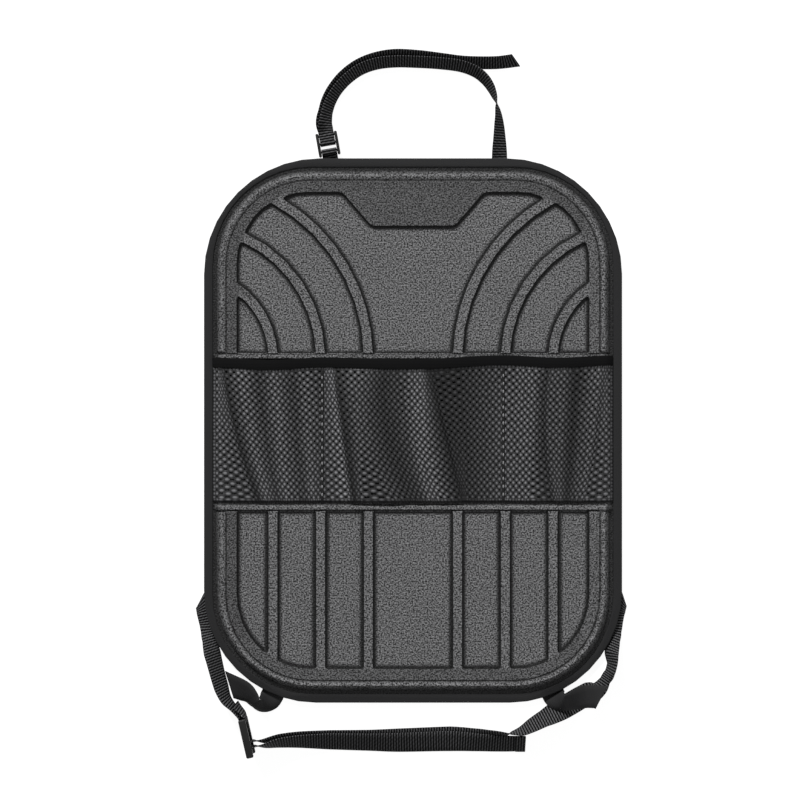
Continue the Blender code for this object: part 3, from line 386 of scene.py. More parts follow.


# Painted shade on the panel's points; the feet of the sunk fields are painted darkest.
for vert in panel_shape.verts:
    on_foot = level_with(vert.co, FIELD_LEVEL) and rim_inset(vert.co) > FIELD_INSET
    if on_foot and not in_long_bay(vert.co):
        vert[painted_shade_layer] = TONES["field foot"]
    else:
        vert[painted_shade_layer] = painted_shade_at(vert.co)
# A painted shadow inside each sunk field along its walls: a dark crease ring, then a ring that fades to 1
# across the shade width.
creased = field_floors()
bmesh.ops.inset_individual(panel_shape, faces=creased, thickness=CREASE_WIDTH, use_even_offset=True)
corner_verts = list(dict.fromkeys(vert for face in creased for vert in face.verts))
for vert in corner_verts:
    vert[painted_shade_layer] = TONES["crease"]
bmesh.ops.remove_doubles(panel_shape, verts=corner_verts, dist=CORNER_WELD)
panel_shape.normal_update()
shaded = field_floors()
bmesh.ops.inset_individual(panel_shape, faces=shaded, thickness=SHADE_WIDTH, use_even_offset=True)
for face in shaded:
    for vert in face.verts:
        vert[painted_shade_layer] = TONES["open"]
moulded_panel = finished_piece("dressed_panel", panel_shape, foam_cloth, replaced="moulded_panel")
eased_edges(moulded_panel, width=0.0003, angle=28)
weighted = moulded_panel.modifiers.new("flat_faces", "WEIGHTED_NORMAL")
weighted.keep_sharp = True

# Edge binding. Matt woven tape folded over the panel's rim, its fold a
# little rounded.
tape_cloth = cloth_material("binding_tape_weave", (0.0145, 0.0145, 0.0150), roughness=0.8)
tape_tree = tape_cloth.node_tree
tape_grain = pattern(tape_tree, "Noise", object_place(tape_tree), Scale=900, Detail=2)
roughen(tape_tree, tape_grain.outputs["Fac"], strength=0.7, distance=0.0004)

binding_shape = copied_shape("edge_binding")
edge_binding = finished_piece("dressed_binding", binding_shape, tape_cloth, replaced="edge_binding")
eased_edges(edge_binding, width=0.0004, angle=30)

# Elastic band. Smooth black woven elastic along the mouth of the pocket, a
# little slack between the places where it is sewn down.
ELASTIC_WIDTH = 0.0105
elastic_weave = cloth_material("elastic_weave", (0.0050, 0.0050, 0.0052), roughness=0.9, gloss=0.05)
elastic_tree = elastic_weave.node_tree
elastic_ribs = pattern(elastic_tree, "Wave", object_place(elastic_tree), Scale=210, Distortion=0.6)
elastic_ribs.bands_direction = "Y"
roughen(elastic_tree, elastic_ribs.outputs["Fac"], strength=0.35, distance=0.0003)

elastic_shape = copied_shape("pocket_elastic")
pocket_elastic = finished_piece("dressed_elastic", elastic_shape, elastic_weave, replaced="pocket_elastic")
eased_edges(pocket_elastic, width=0.0003, angle=40)

# Mesh pocket. A knitted net, gathered on the band and pleated into three
# bays, sewn down at the sides, along the hem and by two upright seams.
SEAM_LEFT = -0.09548
SEAM_RIGHT = 0.09482
NET_SIDE = 0.2102
NET_HEM = -0.0754
NET_HEAD = 0.0710
NET_FLOOR = 0.0068
NET_FLANGE = 0.0036
NET_RAMP = (0.0098, 0.0062)
NET_THREAD = 0.0007
NET_STITCH = 0.0033
NET_ROW = 0.0038
NET_STEPS = 10
YARN_HALF = 0.00075
HOLE_ROUNDING = 0.0006
YARN_COLOUR = (0.050, 0.050, 0.052)
KNOT_SHIFT = (0.38, 0.38, 0)
FOLD_CONTRAST = 1.5
BAND_FLANGE = 0.0039
BAND_RAMP = (0.0098, 0.0085)
BAND_OVERLAP = 0.0010
BELOW_BAND = 0.0008
PULL_START = 0.80
PULL_SPAN = 0.20
PULL_CURVE = 1.6
# Folds of the net. Each line has the side or seam that its x is counted from,
# x at the band, half way and at the hem, the height above the flat net at the
# same places, and the shade, 1 where the net lies open to the light.
PLEATS = (
    (-NET_SIDE, 0.0000, 0.0000, 0.0000, 0.0, 0.0, 0.0, 0.60),
    (-NET_SIDE, 0.0066, 0.0066, 0.0066, 0.0002, 0.0002, 0.0, 1.00),
    (-NET_SIDE, 0.0088, 0.0230, 0.0440, 0.0010, 0.0015, 0.0003, 0.80),
    (-NET_SIDE, 0.0116, 0.0262, 0.0490, 0.0044, 0.0062, 0.0015, 0.30),
    (-NET_SIDE, 0.0290, 0.0400, 0.0580, 0.0070, 0.0045, 0.0010, 1.15),
    (-NET_SIDE, 0.0480, 0.0560, 0.0670, 0.0078, 0.0026, 0.0006, 0.55),
    (-NET_SIDE, 0.0640, 0.0705, 0.0775, 0.0078, 0.0052, 0.0010, 1.15),
    (-NET_SIDE, 0.0820, 0.0890, 0.0955, 0.0068, 0.0022, 0.0005, 0.55),
    (-NET_SIDE, 0.0945, 0.1000, 0.1040, 0.0030, 0.0026, 0.0004, 1.05),
    (SEAM_LEFT, 0.0000, 0.0000, 0.0000, 0.0, 0.0, 0.0, 0.70),
    (SEAM_LEFT, 0.0095, 0.0195, 0.0280, 0.0020, 0.0012, 0.0003, 1.35),
    (SEAM_LEFT, 0.0135, 0.0240, 0.0335, 0.0045, 0.0090, 0.0028, 0.25),
    (SEAM_LEFT, 0.0310, 0.0370, 0.0420, 0.0075, 0.0085, 0.0034, 0.90),
    (SEAM_LEFT, 0.0470, 0.0490, 0.0720, 0.0090, 0.0092, 0.0050, 0.75),
    (SEAM_LEFT, 0.0640, 0.0690, 0.0930, 0.0095, 0.0052, 0.0020, 0.40),
    (SEAM_LEFT, 0.0800, 0.0860, 0.1060, 0.0095, 0.0090, 0.0032, 0.60),
    (SEAM_LEFT, 0.0940, 0.0960, 0.1150, 0.0090, 0.0062, 0.0020, 1.10),
    (SEAM_LEFT, 0.1040, 0.1085, 0.1240, 0.0085, 0.0086, 0.0030, 1.20),
    (SEAM_LEFT, 0.1105, 0.1270, 0.1460, 0.0080, 0.0082, 0.0022, 0.30),
    (SEAM_LEFT, 0.1150, 0.1310, 0.1490, 0.0075, 0.0020, 0.0003, 0.35),
    (SEAM_LEFT, 0.1470, 0.1490, 0.1515, 0.0045, 0.0032, 0.0005, 0.40),
    (SEAM_RIGHT, 0.0000, 0.0000, 0.0000, 0.0, 0.0, 0.0, 0.90),
    (SEAM_RIGHT, 0.0150, 0.0120, 0.0100, 0.0030, 0.0016, 0.0003, 0.95),
    (SEAM_RIGHT, 0.0320, 0.0300, 0.0280, 0.0066, 0.0042, 0.0010, 1.05),
    (SEAM_RIGHT, 0.0470, 0.0420, 0.0510, 0.0080, 0.0018, 0.0003, 0.40),
    (SEAM_RIGHT, 0.0510, 0.0470, 0.0555, 0.0082, 0.0074, 0.0015, 0.75),
    (SEAM_RIGHT, 0.0620, 0.0600, 0.0590, 0.0082, 0.0072, 0.0020, 0.85),
    (SEAM_RIGHT, 0.0750, 0.0730, 0.0665, 0.0078, 0.0028, 0.0010, 0.30),
    (SEAM_RIGHT, 0.0890, 0.0820, 0.0730, 0.0050, 0.0060, 0.0015, 0.70),
    (SEAM_RIGHT, 0.1010, 0.0940, 0.0820, 0.0040, 0.0052, 0.0010, 1.05),
    (SEAM_RIGHT, 0.1055, 0.0985, 0.0865, 0.0020, 0.0012, 0.0003, 0.80),
    (NET_SIDE, -0.0066, -0.0066, -0.0066, 0.0002, 0.0002, 0.0, 0.95),
    (NET_SIDE, 0.0000, 0.0000, 0.0000, 0.0, 0.0, 0.0, 0.50),
)
# Rise of the band. Each line has x, the y of the band's middle and its rise.
BAND_ROWS = (
    (-NET_SIDE, 0.0716, 0.0),
    (-0.150, 0.0686, 0.0066),
    (SEAM_LEFT, 0.0716, 0.0004),
    (0.0, 0.0694, 0.0090),
    (SEAM_RIGHT, 0.0739, 0.0004),
    (0.150, 0.0712, 0.0066),
    (NET_SIDE, 0.0736, 0.0),
)


def ramp_at(x, ramp):
    """0 on the flange and 1 on the panel's face; a ramp is its start inside the side and its length."""
    return min(max((HALF_WIDTH - abs(x) - ramp[0]) / ramp[1], 0), 1)


def band_place(x):
    """Middle line of the band at x: its y and the height of its underside."""
    found = BAND_ROWS[-1][1:]
    for first, second in zip(BAND_ROWS, BAND_ROWS[1:]):
        if first[0] <= x <= second[0]:
            share = (x - first[0]) / (second[0] - first[0])
            blend = share * share * (3 - 2 * share)
            found = [a + (b - a) * blend for a, b in zip(first[1:], second[1:])]
            break
    return found[0], BAND_FLANGE + (LAND_LEVEL - NET_FLANGE) * ramp_at(x, BAND_RAMP) + found[1]


def three_point(top, middle, foot, share):
    """Value at share, 0 at the hem, 0.5 half way and 1 at the band."""
    from_foot = foot * (2 * share - 1) * (share - 1)
    return from_foot - 4 * middle * share * (share - 1) + top * share * (2 * share - 1)


def net_point(place, share):
    """A point of the net: place counts pleat lines, share runs from hem to band."""
    index = min(int(place), len(PLEATS) - 2)
    part = place - index
    ease = part * part * (3 - 2 * part)
    first = PLEATS[index]
    second = PLEATS[index + 1]
    x_first = first[0] + three_point(*first[1:4], share)
    x_second = second[0] + three_point(*second[1:4], share)
    x = x_first + (x_second - x_first) * part
    top_first = first[0] + first[1]
    top = top_first + (second[0] + second[1] - top_first) * part
    fold_first = three_point(*first[4:7], share)
    fold_second = three_point(*second[4:7], share)
    fold = max(fold_first + (fold_second - fold_first) * ease, 0)
    band_y, band_height = band_place(top)
    head = band_y - ELASTIC_WIDTH / 2 + BAND_OVERLAP
    y = NET_HEM + (head - NET_HEM) * share
    ramp = ramp_at(x, NET_RAMP)
    height = NET_FLANGE + (NET_FLOOR - NET_FLANGE) * ramp + fold * ramp
    pull = max(share - PULL_START, 0) / PULL_SPAN
    return Vector((x, y, height + (band_height - BELOW_BAND - height) * pull ** PULL_CURVE))


def fold_shade(place):
    """Shade of the fold at a place among the pleat lines."""
    index = min(int(place), len(PLEATS) - 2)
    return PLEATS[index][7] + (PLEATS[index + 1][7] - PLEATS[index][7]) * (place - index)


net_lengths = [0.0]
for step in range((len(PLEATS) - 1) * NET_STEPS):
    here = net_point(step / NET_STEPS, 0.5)
    there = net_point((step + 1) / NET_STEPS, 0.5)
    net_lengths.append(net_lengths[-1] + (there - here).length)


def net_place(distance):
    """Place among the pleat lines at a distance along the net's middle row."""
    index = 0
    while index < len(net_lengths) - 2 and net_lengths[index + 1] < distance:
        index += 1
    span = net_lengths[index + 1] - net_lengths[index]
    return (index + (distance - net_lengths[index]) / span) / NET_STEPS


net_width = net_lengths[-1]
net_columns = 2 * round(net_width / NET_STITCH / 2)
net_rows = round((NET_HEAD - NET_HEM) / NET_ROW)
net_shape = bmesh.new()
net_uv = net_shape.loops.layers.uv.new("stitches")
fold_layer = net_shape.verts.layers.float.new("fold")
bmesh.ops.create_grid(net_shape, x_segments=net_columns, y_segments=net_rows, size=0.5)
stitch_places = [net_place(net_width * column / net_columns) for column in range(net_columns + 1)]
net_shape.normal_update()
net_cells = []
for face in net_shape.faces:
    middle = face.calc_center_median()
    column = int((middle.x + 0.5) * net_columns)
    row = int((middle.y + 0.5) * net_rows)
    for loop in face.loops:
        loop[net_uv].uv = ((loop.vert.co.x + 0.5) * net_columns, (loop.vert.co.y + 0.5) * net_rows)
    if (column + row) % 2 == 0 and 0 < column < net_columns - 1 and 0 < row < net_rows - 1:
        net_cells.append(face)
for vert in net_shape.verts:
    column = round((vert.co.x + 0.5) * net_columns)
    vert[fold_layer] = fold_shade(stitch_places[column])
    vert.co = net_point(stitch_places[column], vert.co.y + 0.5)
net_shape.normal_update()
bmesh.ops.inset_individual(net_shape, faces=net_cells, thickness=YARN_HALF, use_even_offset=True)
hole_corners = list(dict.fromkeys(vert for face in net_cells for vert in face.verts))
bmesh.ops.delete(net_shape, geom=net_cells, context="FACES_ONLY")
bmesh.ops.bevel(
    net_shape,
    geom=hole_corners,
    offset=HOLE_ROUNDING,
    offset_type="OFFSET",
    affect="VERTICES",
    segments=1,
    profile=0.5,
    material=-1,
)

net_yarn = cloth_material("net_yarn", YARN_COLOUR, roughness=0.6)
net_tree = net_yarn.node_tree
stitch_map = net_tree.nodes.new("ShaderNodeUVMap")
stitch_map.uv_map = "stitches"
knot_centre = net_tree.nodes.new("ShaderNodeVectorMath")
knot_centre.operation = "SUBTRACT"
knot_centre.inputs[1].default_value = KNOT_SHIFT
net_tree.links.new(stitch_map.outputs["UV"], knot_centre.inputs[0])
knots = pattern(net_tree, "Voronoi", knot_centre.outputs["Vector"], Scale=1.0, Randomness=0.25)
knots.voronoi_dimensions = "2D"
# Painted highlight on each yarn knot: the colour is lifted up to 3.6 times at its middle and dimmed to 0.45
# between the knots.
knot_highlight = stretched(net_tree, knots.outputs["Distance"], (0.18, 0.48), (3.6, 0.45))
# Painted shade in the net's folds and painted light on its open strips, from the shade column of the pleat
# table.
fold_tone = worked_out(net_tree, "POWER", painted(net_tree, "fold"), FOLD_CONTRAST)
stitch_row = net_tree.nodes.new("ShaderNodeSeparateXYZ")
net_tree.links.new(stitch_map.outputs["UV"], stitch_row.inputs["Vector"])
hem_tone = stretched(net_tree, stitch_row.outputs["Y"], (0.55, 0.75), (0.15, 1.0))
folded_tone = worked_out(net_tree, "MULTIPLY", knot_highlight, fold_tone)
tint(net_tree, YARN_COLOUR, worked_out(net_tree, "MULTIPLY", folded_tone, hem_tone))
roughen(net_tree, knots.outputs["Distance"], strength=0.9, distance=0.0006, invert=True)

mesh_pocket = finished_piece("dressed_net", net_shape, net_yarn, replaced="mesh_pocket")
yarn_body = mesh_pocket.modifiers.new("yarn_body", "SOLIDIFY")
yarn_body.thickness = NET_THREAD
yarn_body.offset = 1.0

# Divider seams. Two narrow dark tapes hold the net down between the bays,
# each sewn with a row of pale grey stitches.
SEAM_TAPE_WIDTH = 0.0030
SEAM_TAPE_BODY = 0.0004
SEAM_TAPE_REACH = 0.97
SEAM_TAPE_LIFT = 0.0010
STITCH_COUNT = 16
STITCH_PITCH = 0.0084
STITCH_SIZE = (0.0009, 0.0019, 0.0005)
STITCH_LIFT = 0.0012
seam_tape_cloth = cloth_material("seam_tape_cloth", (0.0080, 0.0080, 0.0082), roughness=0.8)
seam_thread = cloth_material("seam_thread", (0.200, 0.200, 0.205), roughness=0.6)
for seam_name, seam_x in (("left", SEAM_LEFT), ("right", SEAM_RIGHT)):
    pleat_line = [line[:2] for line in PLEATS].index((seam_x, 0.0))
    tape_shape = bmesh.new()
    bmesh.ops.create_grid(tape_shape, x_segments=2, y_segments=40, size=0.5)
    for vert in tape_shape.verts:
        point = net_point(pleat_line, (vert.co.y + 0.5) * SEAM_TAPE_REACH)
        vert.co = point + Vector((vert.co.x * SEAM_TAPE_WIDTH, 0, SEAM_TAPE_LIFT))
    seam_tape = finished_piece(seam_name + "_seam_tape", tape_shape, seam_tape_cloth)
    tape_body = seam_tape.modifiers.new("tape_body", "SOLIDIFY")
    tape_body.thickness = SEAM_TAPE_BODY
    tape_body.offset = 0
    stitch_shape = bmesh.new()
    for number in range(1, STITCH_COUNT + 1):
        point = net_point(pleat_line, number * STITCH_PITCH / (NET_HEAD - NET_HEM))
        placed = Matrix.Translation(point + Vector((0, 0, STITCH_LIFT))) @ Matrix.Diagonal((*STITCH_SIZE, 1))
        bmesh.ops.create_icosphere(stitch_shape, subdivisions=2, radius=1, matrix=placed)
    finished_piece(seam_name + "_seam_stitches", stitch_shape, seam_thread)

# Webbing. Black polypropylene webbing with fine cross ribs, 16 mm wide at the
# headrest and 24 mm at the foot. It lies tilted or curled, as it was dropped.
WEBBING = 0.0012
GAP = 0.0003
HEADREST_WEBBING_WIDTH = 0.0160
SEAT_WEBBING_WIDTH = 0.0240
WEBBING_COLOUR = (0.0090, 0.0090, 0.0093)
BINDING_REACH = 0.0094
TRIM_HALVINGS = 30
STATION_STEPS = 6
TURN_STEPS = 6
ROW_POINTS = 5
UPRIGHT_SHARE = 0.02
webbing_weave = cloth_material("webbing_weave", WEBBING_COLOUR, roughness=0.7, gloss=0.03)
webbing_tree = webbing_weave.node_tree
brace_cloth = cloth_material("brace_tape_weave", (0.0150, 0.0150, 0.0155), roughness=0.8)
brace_tree = brace_cloth.node_tree


def weave_place(tree):
    """Places on a strap's own weave, metres along it and across it."""
    made = tree.nodes.new("ShaderNodeUVMap")
    made.uv_map = "weave"
    return made.outputs["UV"]


rib_place = weave_place(webbing_tree)
cross_ribs = pattern(webbing_tree, "Wave", rib_place, Scale=112, Distortion=0.8, Detail_Scale=3)
cross_ribs.bands_direction = "X"
long_ribs = pattern(webbing_tree, "Wave", rib_place, Scale=120)
long_ribs.bands_direction = "DIAGONAL"
weave = worked_out(webbing_tree, "MULTIPLY_ADD", long_ribs.outputs["Fac"], 0.25, cross_ribs.outputs["Fac"])
roughen(webbing_tree, weave, strength=0.8, distance=0.0004)
tint(webbing_tree, WEBBING_COLOUR, stretched(webbing_tree, weave, (0.45, 1.2), (0.2, 11.0)))
brace_ribs = pattern(brace_tree, "Wave", weave_place(brace_tree), Scale=150, Distortion=0.5)
brace_ribs.bands_direction = "X"
roughen(brace_tree, brace_ribs.outputs["Fac"], strength=0.4, distance=0.0002)


def smooth_between(values, place):
    """Catmull-Rom value at place, counted in steps of the list."""
    index = min(int(place), len(values) - 2)
    share = place - index
    a = values[max(index - 1, 0)]
    b = values[index]
    c = values[index + 1]
    d = values[min(index + 2, len(values) - 1)]
    square = (2 * a - 5 * b + 4 * c - d) * share ** 2
    return 0.5 * (2 * b + (c - a) * share + square + (3 * b - a - 3 * c + d) * share ** 3)


def straight_between(values, place):
    index = min(int(place), len(values) - 2)
    return values[index] + (values[index + 1] - values[index]) * (place - index)


def trimmed_edge(edge, centre):
    """Edge of webbing sewn below the binding: it goes no further in than the binding does."""
    if edge.z > 0 or rim_inset(edge) <= BINDING_REACH:
        return edge
    inside = edge
    outside = centre
    for _ in range(TRIM_HALVINGS):
        middle = (inside + outside) / 2
        if rim_inset(middle) > BINDING_REACH:
            inside = middle
        else:
            outside = middle
    return outside


def strap_sections(width, stations):
    """Sections along a strap, each its middle, tilt, slant and spread.

    A station has x, y, the height of the lower edge, the tilt and the slant in
    degrees, and the share of the width that is not curled under.
    """
    columns = list(zip(*stations))
    sections = []
    for step in range((len(stations) - 1) * STATION_STEPS + 1):
        place = step / STATION_STEPS
        x, y = [smooth_between(column, place) for column in columns[:2]]
        lift, tilt, slant, share = [straight_between(column, place) for column in columns[2:]]
        lean = math.radians(tilt)
        rise = width * share / 2 * abs(math.sin(lean)) + WEBBING / 2 * abs(math.cos(lean))
        sections.append((Vector((x, y, FLOOR + lift + rise)), lean, math.radians(slant), width * share))
    return sections


def pulled_on(shape, row, edges):
    """The next row of points and its edges, pulled out of the last row's edges."""
    made = bmesh.ops.extrude_edge_only(shape, edges=edges)["geom"]
    fresh = [item for item in made if isinstance(item, bmesh.types.BMEdge) and not set(item.verts) & set(row)]
    ends = {vert for edge in fresh for vert in edge.verts}
    following = []
    for vert in row:
        joined = [edge.other_vert(vert) for edge in vert.link_edges]
        following.append(next(other for other in joined if other in ends))
    return following, fresh


def webbing_strap(name, width, stations, *, cloth=webbing_weave, replaces_node=True):
    """Webbing pulled along its stations, one narrow row of faces at a time."""
    shape = bmesh.new()
    weave_layer = shape.loops.layers.uv.new("weave")
    sections = strap_sections(width, stations)
    row = [shape.verts.new((0, 0, 0)) for _ in range(ROW_POINTS)]
    edges = [shape.edges.new(pair) for pair in zip(row, row[1:])]
    side = None
    travelled = 0.0
    for index, (centre, lean, slant, spread) in enumerate(sections):
        run = sections[min(index + 1, len(sections) - 1)][0] - sections[max(index - 1, 0)][0]
        flat = Vector((-run.y, run.x, 0))
        if flat.length > UPRIGHT_SHARE * run.length:
            flat.normalize()
            if side is not None and flat.dot(side) < 0:
                flat.negate()
            side = flat
        across = Matrix.Rotation(slant, 3, "Z") @ side
        across = across * (math.cos(lean) / math.cos(slant)) + Vector((0, 0, math.sin(lean)))
        if index:
            arrived = travelled + (centre - sections[index - 1][0]).length
            before = row
            row, edges = pulled_on(shape, before, edges)
            for face in {face for edge in edges for face in edge.link_faces}:
                for loop in face.loops:
                    new = loop.vert in row
                    number = row.index(loop.vert) if new else before.index(loop.vert)
                    loop[weave_layer].uv = (arrived if new else travelled, number * width / (ROW_POINTS - 1))
            travelled = arrived
        near = trimmed_edge(centre + across * spread / 2, centre)
        far = trimmed_edge(centre - across * spread / 2, centre)
        for number, vert in enumerate(row):
            vert.co = near.lerp(far, number / (ROW_POINTS - 1))
    made = finished_piece("dressed_" + name, shape, cloth, replaced=name if replaces_node else None)
    body = made.modifiers.new("webbing_body", "SOLIDIFY")
    body.thickness = WEBBING
    body.offset = 0
    eased_edges(made, width=0.0003, angle=50, segments=1)


def bar_turn(place, far, radius, start, end):
    """Pairs round a bar from start to end degrees; far is +1 or -1 along the rails."""
    pairs = []
    for step in range(TURN_STEPS + 1):
        angle = math.radians(start + (end - start) * step / TURN_STEPS)
        pairs.append((place + far * radius * math.cos(angle), radius * math.sin(angle)))
    return pairs


def from_top(x, y, lift, tilt, slant=0, share=1):
    return (x, HALF_HEIGHT + y, lift, tilt, slant, share)


def from_left(x, y, lift, tilt, slant=0, share=1):
    return (x - HALF_WIDTH, y - HALF_HEIGHT, lift, tilt, slant, share)


def from_right(x, y, lift, tilt, slant=0, share=1):
    return (HALF_WIDTH + x, y - HALF_HEIGHT, lift, tilt, slant, share)


# Headrest strap. It comes from under the top edge on the right, goes over to
# the small ladder buckle, round its middle bar and back as a loose tail.
HEADREST_BAR_RADIUS = 0.0013
HEADREST_BARS = (0.0050, 0.0135, 0.0220)
HEADREST_BUCKLE_TURN = math.radians(10)
HEADREST_BUCKLE_FOOT = Vector((-0.0874, HALF_HEIGHT + 0.0028))
BEFORE_FIRST_BAR = 0.0015
PAST_MIDDLE_BAR = 0.0025
PAST_LAST_BAR = 0.0042
headrest_run = Vector((-math.sin(HEADREST_BUCKLE_TURN), math.cos(HEADREST_BUCKLE_TURN)))
headrest_wrap = HEADREST_BAR_RADIUS + GAP + WEBBING / 2
headrest_over = 2 * headrest_wrap


def along_headrest_buckle(distance, lift):
    point = HEADREST_BUCKLE_FOOT + headrest_run * distance
    return (point.x, point.y, lift, 180, 0, 1)


webbing_strap("headrest_strap", HEADREST_WEBBING_WIDTH, [
    from_top(0.0912, -0.0092, 0.0, 0),
    from_top(0.0912, -0.0040, 0.0, 0),
    from_top(0.0912, 0.0010, 0.0, 0),
    from_top(0.0911, 0.0095, 0.0003, 18),
    from_top(0.0910, 0.0210, 0.0003, 36),
    from_top(0.0907, 0.0330, 0.0003, 48),
    from_top(0.0901, 0.0440, 0.0003, 62),
    from_top(0.0889, 0.0520, 0.0003, 72),
    from_top(0.0878, 0.0585, 0.0003, 88),
    from_top(0.0857, 0.0650, 0.0003, 104),
    from_top(0.0818, 0.0740, 0.0003, 116),
    from_top(0.0755, 0.0830, 0.0003, 124),
    from_top(0.0655, 0.0910, 0.0003, 128),
    from_top(0.0500, 0.0968, 0.0003, 130),
    from_top(0.0280, 0.0997, 0.0003, 130),
    from_top(0.0050, 0.1011, 0.0003, 130),
    from_top(-0.0180, 0.1016, 0.0003, 130),
    from_top(-0.0380, 0.0994, 0.0003, 130),
    from_top(-0.0550, 0.0935, 0.0003, 130),
    from_top(-0.0690, 0.0835, 0.0003, 128),
    from_top(-0.0795, 0.0720, 0.0003, 128),
    from_top(-0.0865, 0.0600, 0.0010, 130),
    from_top(-0.0905, 0.0480, 0.0018, 134),
    from_top(-0.0921, 0.0370, 0.0028, 146),
    along_headrest_buckle(HEADREST_BARS[2] + PAST_LAST_BAR, headrest_over),
    along_headrest_buckle(HEADREST_BARS[2], headrest_over),
    along_headrest_buckle(HEADREST_BARS[1] + PAST_MIDDLE_BAR, headrest_over),
    *[along_headrest_buckle(place, headrest_wrap + rise)
      for place, rise in bar_turn(HEADREST_BARS[1], -1, headrest_wrap, 90, -90)],
    along_headrest_buckle(HEADREST_BARS[1] + PAST_MIDDLE_BAR, 0),
    along_headrest_buckle(HEADREST_BARS[2], 0),
    along_headrest_buckle(HEADREST_BARS[2] + PAST_LAST_BAR, 0),
    from_top(-0.0951, 0.0375, 0.0, 150),
    from_top(-0.0936, 0.0490, 0.0, 134),
    from_top(-0.0900, 0.0620, 0.0003, 130),
    from_top(-0.0832, 0.0745, 0.0003, 128),
    from_top(-0.0728, 0.0868, 0.0003, 128),
    from_top(-0.0580, 0.0977, 0.0003, 130),
    from_top(-0.0400, 0.1050, 0.0003, 130),
    from_top(-0.0190, 0.1084, 0.0003, 130),
    from_top(0.0050, 0.1073, 0.0003, 130),
    from_top(0.0280, 0.1045, 0.0003, 130),
    from_top(0.0500, 0.1014, 0.0003, 132),
    from_top(0.0700, 0.1003, 0.0003, 135),
    from_top(0.0900, 0.1006, 0.0003, 136),
    from_top(0.1085, 0.1030, 0.0003, 140, 32),
])

# Headrest tab. A short loop of the same webbing, sewn under the top edge,
# that holds the small buckle by its first bar.
webbing_strap("headrest_tab", HEADREST_WEBBING_WIDTH, [
    along_headrest_buckle(-0.0106, 0),
    along_headrest_buckle(-0.0060, 0),
    along_headrest_buckle(HEADREST_BARS[0] - BEFORE_FIRST_BAR, 0),
    *[along_headrest_buckle(place, headrest_wrap + rise)
      for place, rise in bar_turn(HEADREST_BARS[0], 1, headrest_wrap, -90, 90)],
    along_headrest_buckle(HEADREST_BARS[0] - BEFORE_FIRST_BAR, headrest_over - 0.0001),
    along_headrest_buckle(HEADREST_BARS[0] - 0.0035, headrest_over - 0.0010),
])

# Left corner strap. Folded out from under the left side, it runs down to the
# large buckle, loops round its first bar and comes back on itself.
SEAT_BAR_RADIUS = 0.0017
SEAT_RAIL_WIDTH = 0.0033
SEAT_BARS = (0.0040, 0.0290, 0.0370)
SEAT_PAST_BAR = 0.0055
SEAT_CLEARANCE = 0.0004
SEAT_BUCKLE_TURN = math.radians(-77.1)
SEAT_BUCKLE_HEAD = Vector((0.0413 - HALF_WIDTH, -0.0142 - HALF_HEIGHT))
seat_run = Vector((math.cos(SEAT_BUCKLE_TURN), math.sin(SEAT_BUCKLE_TURN)))
seat_wrap = SEAT_BAR_RADIUS + GAP + WEBBING / 2
seat_clear = SEAT_RAIL_WIDTH + SEAT_CLEARANCE


def by_seat_buckle(distance, aside, lift, tilt):
    point = SEAT_BUCKLE_HEAD + seat_run * distance + Vector((-seat_run.y, seat_run.x)) * aside
    return (point.x, point.y, lift, tilt, 0, 1)


webbing_strap("left_corner_strap", SEAT_WEBBING_WIDTH, [
    from_left(-0.0034, 0.1094, 0.0, 180, 50, 0.62),
    from_left(0.0000, 0.0945, 0.0, 180, 0, 0.68),
    from_left(0.0024, 0.0840, 0.0, 180, 0, 0.67),
    from_left(0.0030, 0.0750, 0.0, 172, 0, 0.55),
    from_left(0.0054, 0.0660, 0.0, 148, 0, 0.66),
    from_left(0.0088, 0.0540, 0.0003, 131, 0, 0.97),
    from_left(0.0112, 0.0450, 0.0004, 126),
    from_left(0.0146, 0.0317, 0.0008, 123),
    from_left(0.0190, 0.0168, 0.0014, 121),
    from_left(0.0240, 0.0050, 0.0026, 110),
    from_left(0.0310, -0.0030, 0.0034, 100),
    by_seat_buckle(-0.0025, -seat_wrap - SEAT_CLEARANCE, seat_clear, 92),
    *[by_seat_buckle(place, aside, seat_clear, 90)
      for place, aside in bar_turn(SEAT_BARS[0], 1, seat_wrap, -90, 90)],
    by_seat_buckle(-0.0035, seat_wrap, seat_clear, 88),
    from_left(0.0373, -0.0042, 0.0034, 82),
    from_left(0.0335, 0.0002, 0.0030, 78),
])

# Left brace strap. It hangs from the bottom edge, turns back and is sewn to
# the left corner strap.
webbing_strap("left_brace_strap", SEAT_WEBBING_WIDTH, [
    from_left(0.0745, 0.0150, 0.0, 180),
    from_left(0.0729, 0.0102, 0.0, 180),
    from_left(0.0712, 0.0066, 0.0, 180),
    from_left(0.0680, 0.0018, 0.0003, 160),
    from_left(0.0620, -0.0022, 0.0006, 132),
    from_left(0.0552, 0.0002, 0.0010, 122),
    from_left(0.0495, 0.0072, 0.0010, 138),
    from_left(0.0420, 0.0126, 0.0006, 158, 8),
    from_left(0.0264, 0.0185, 0.0, 180, 37),
], cloth=brace_cloth)

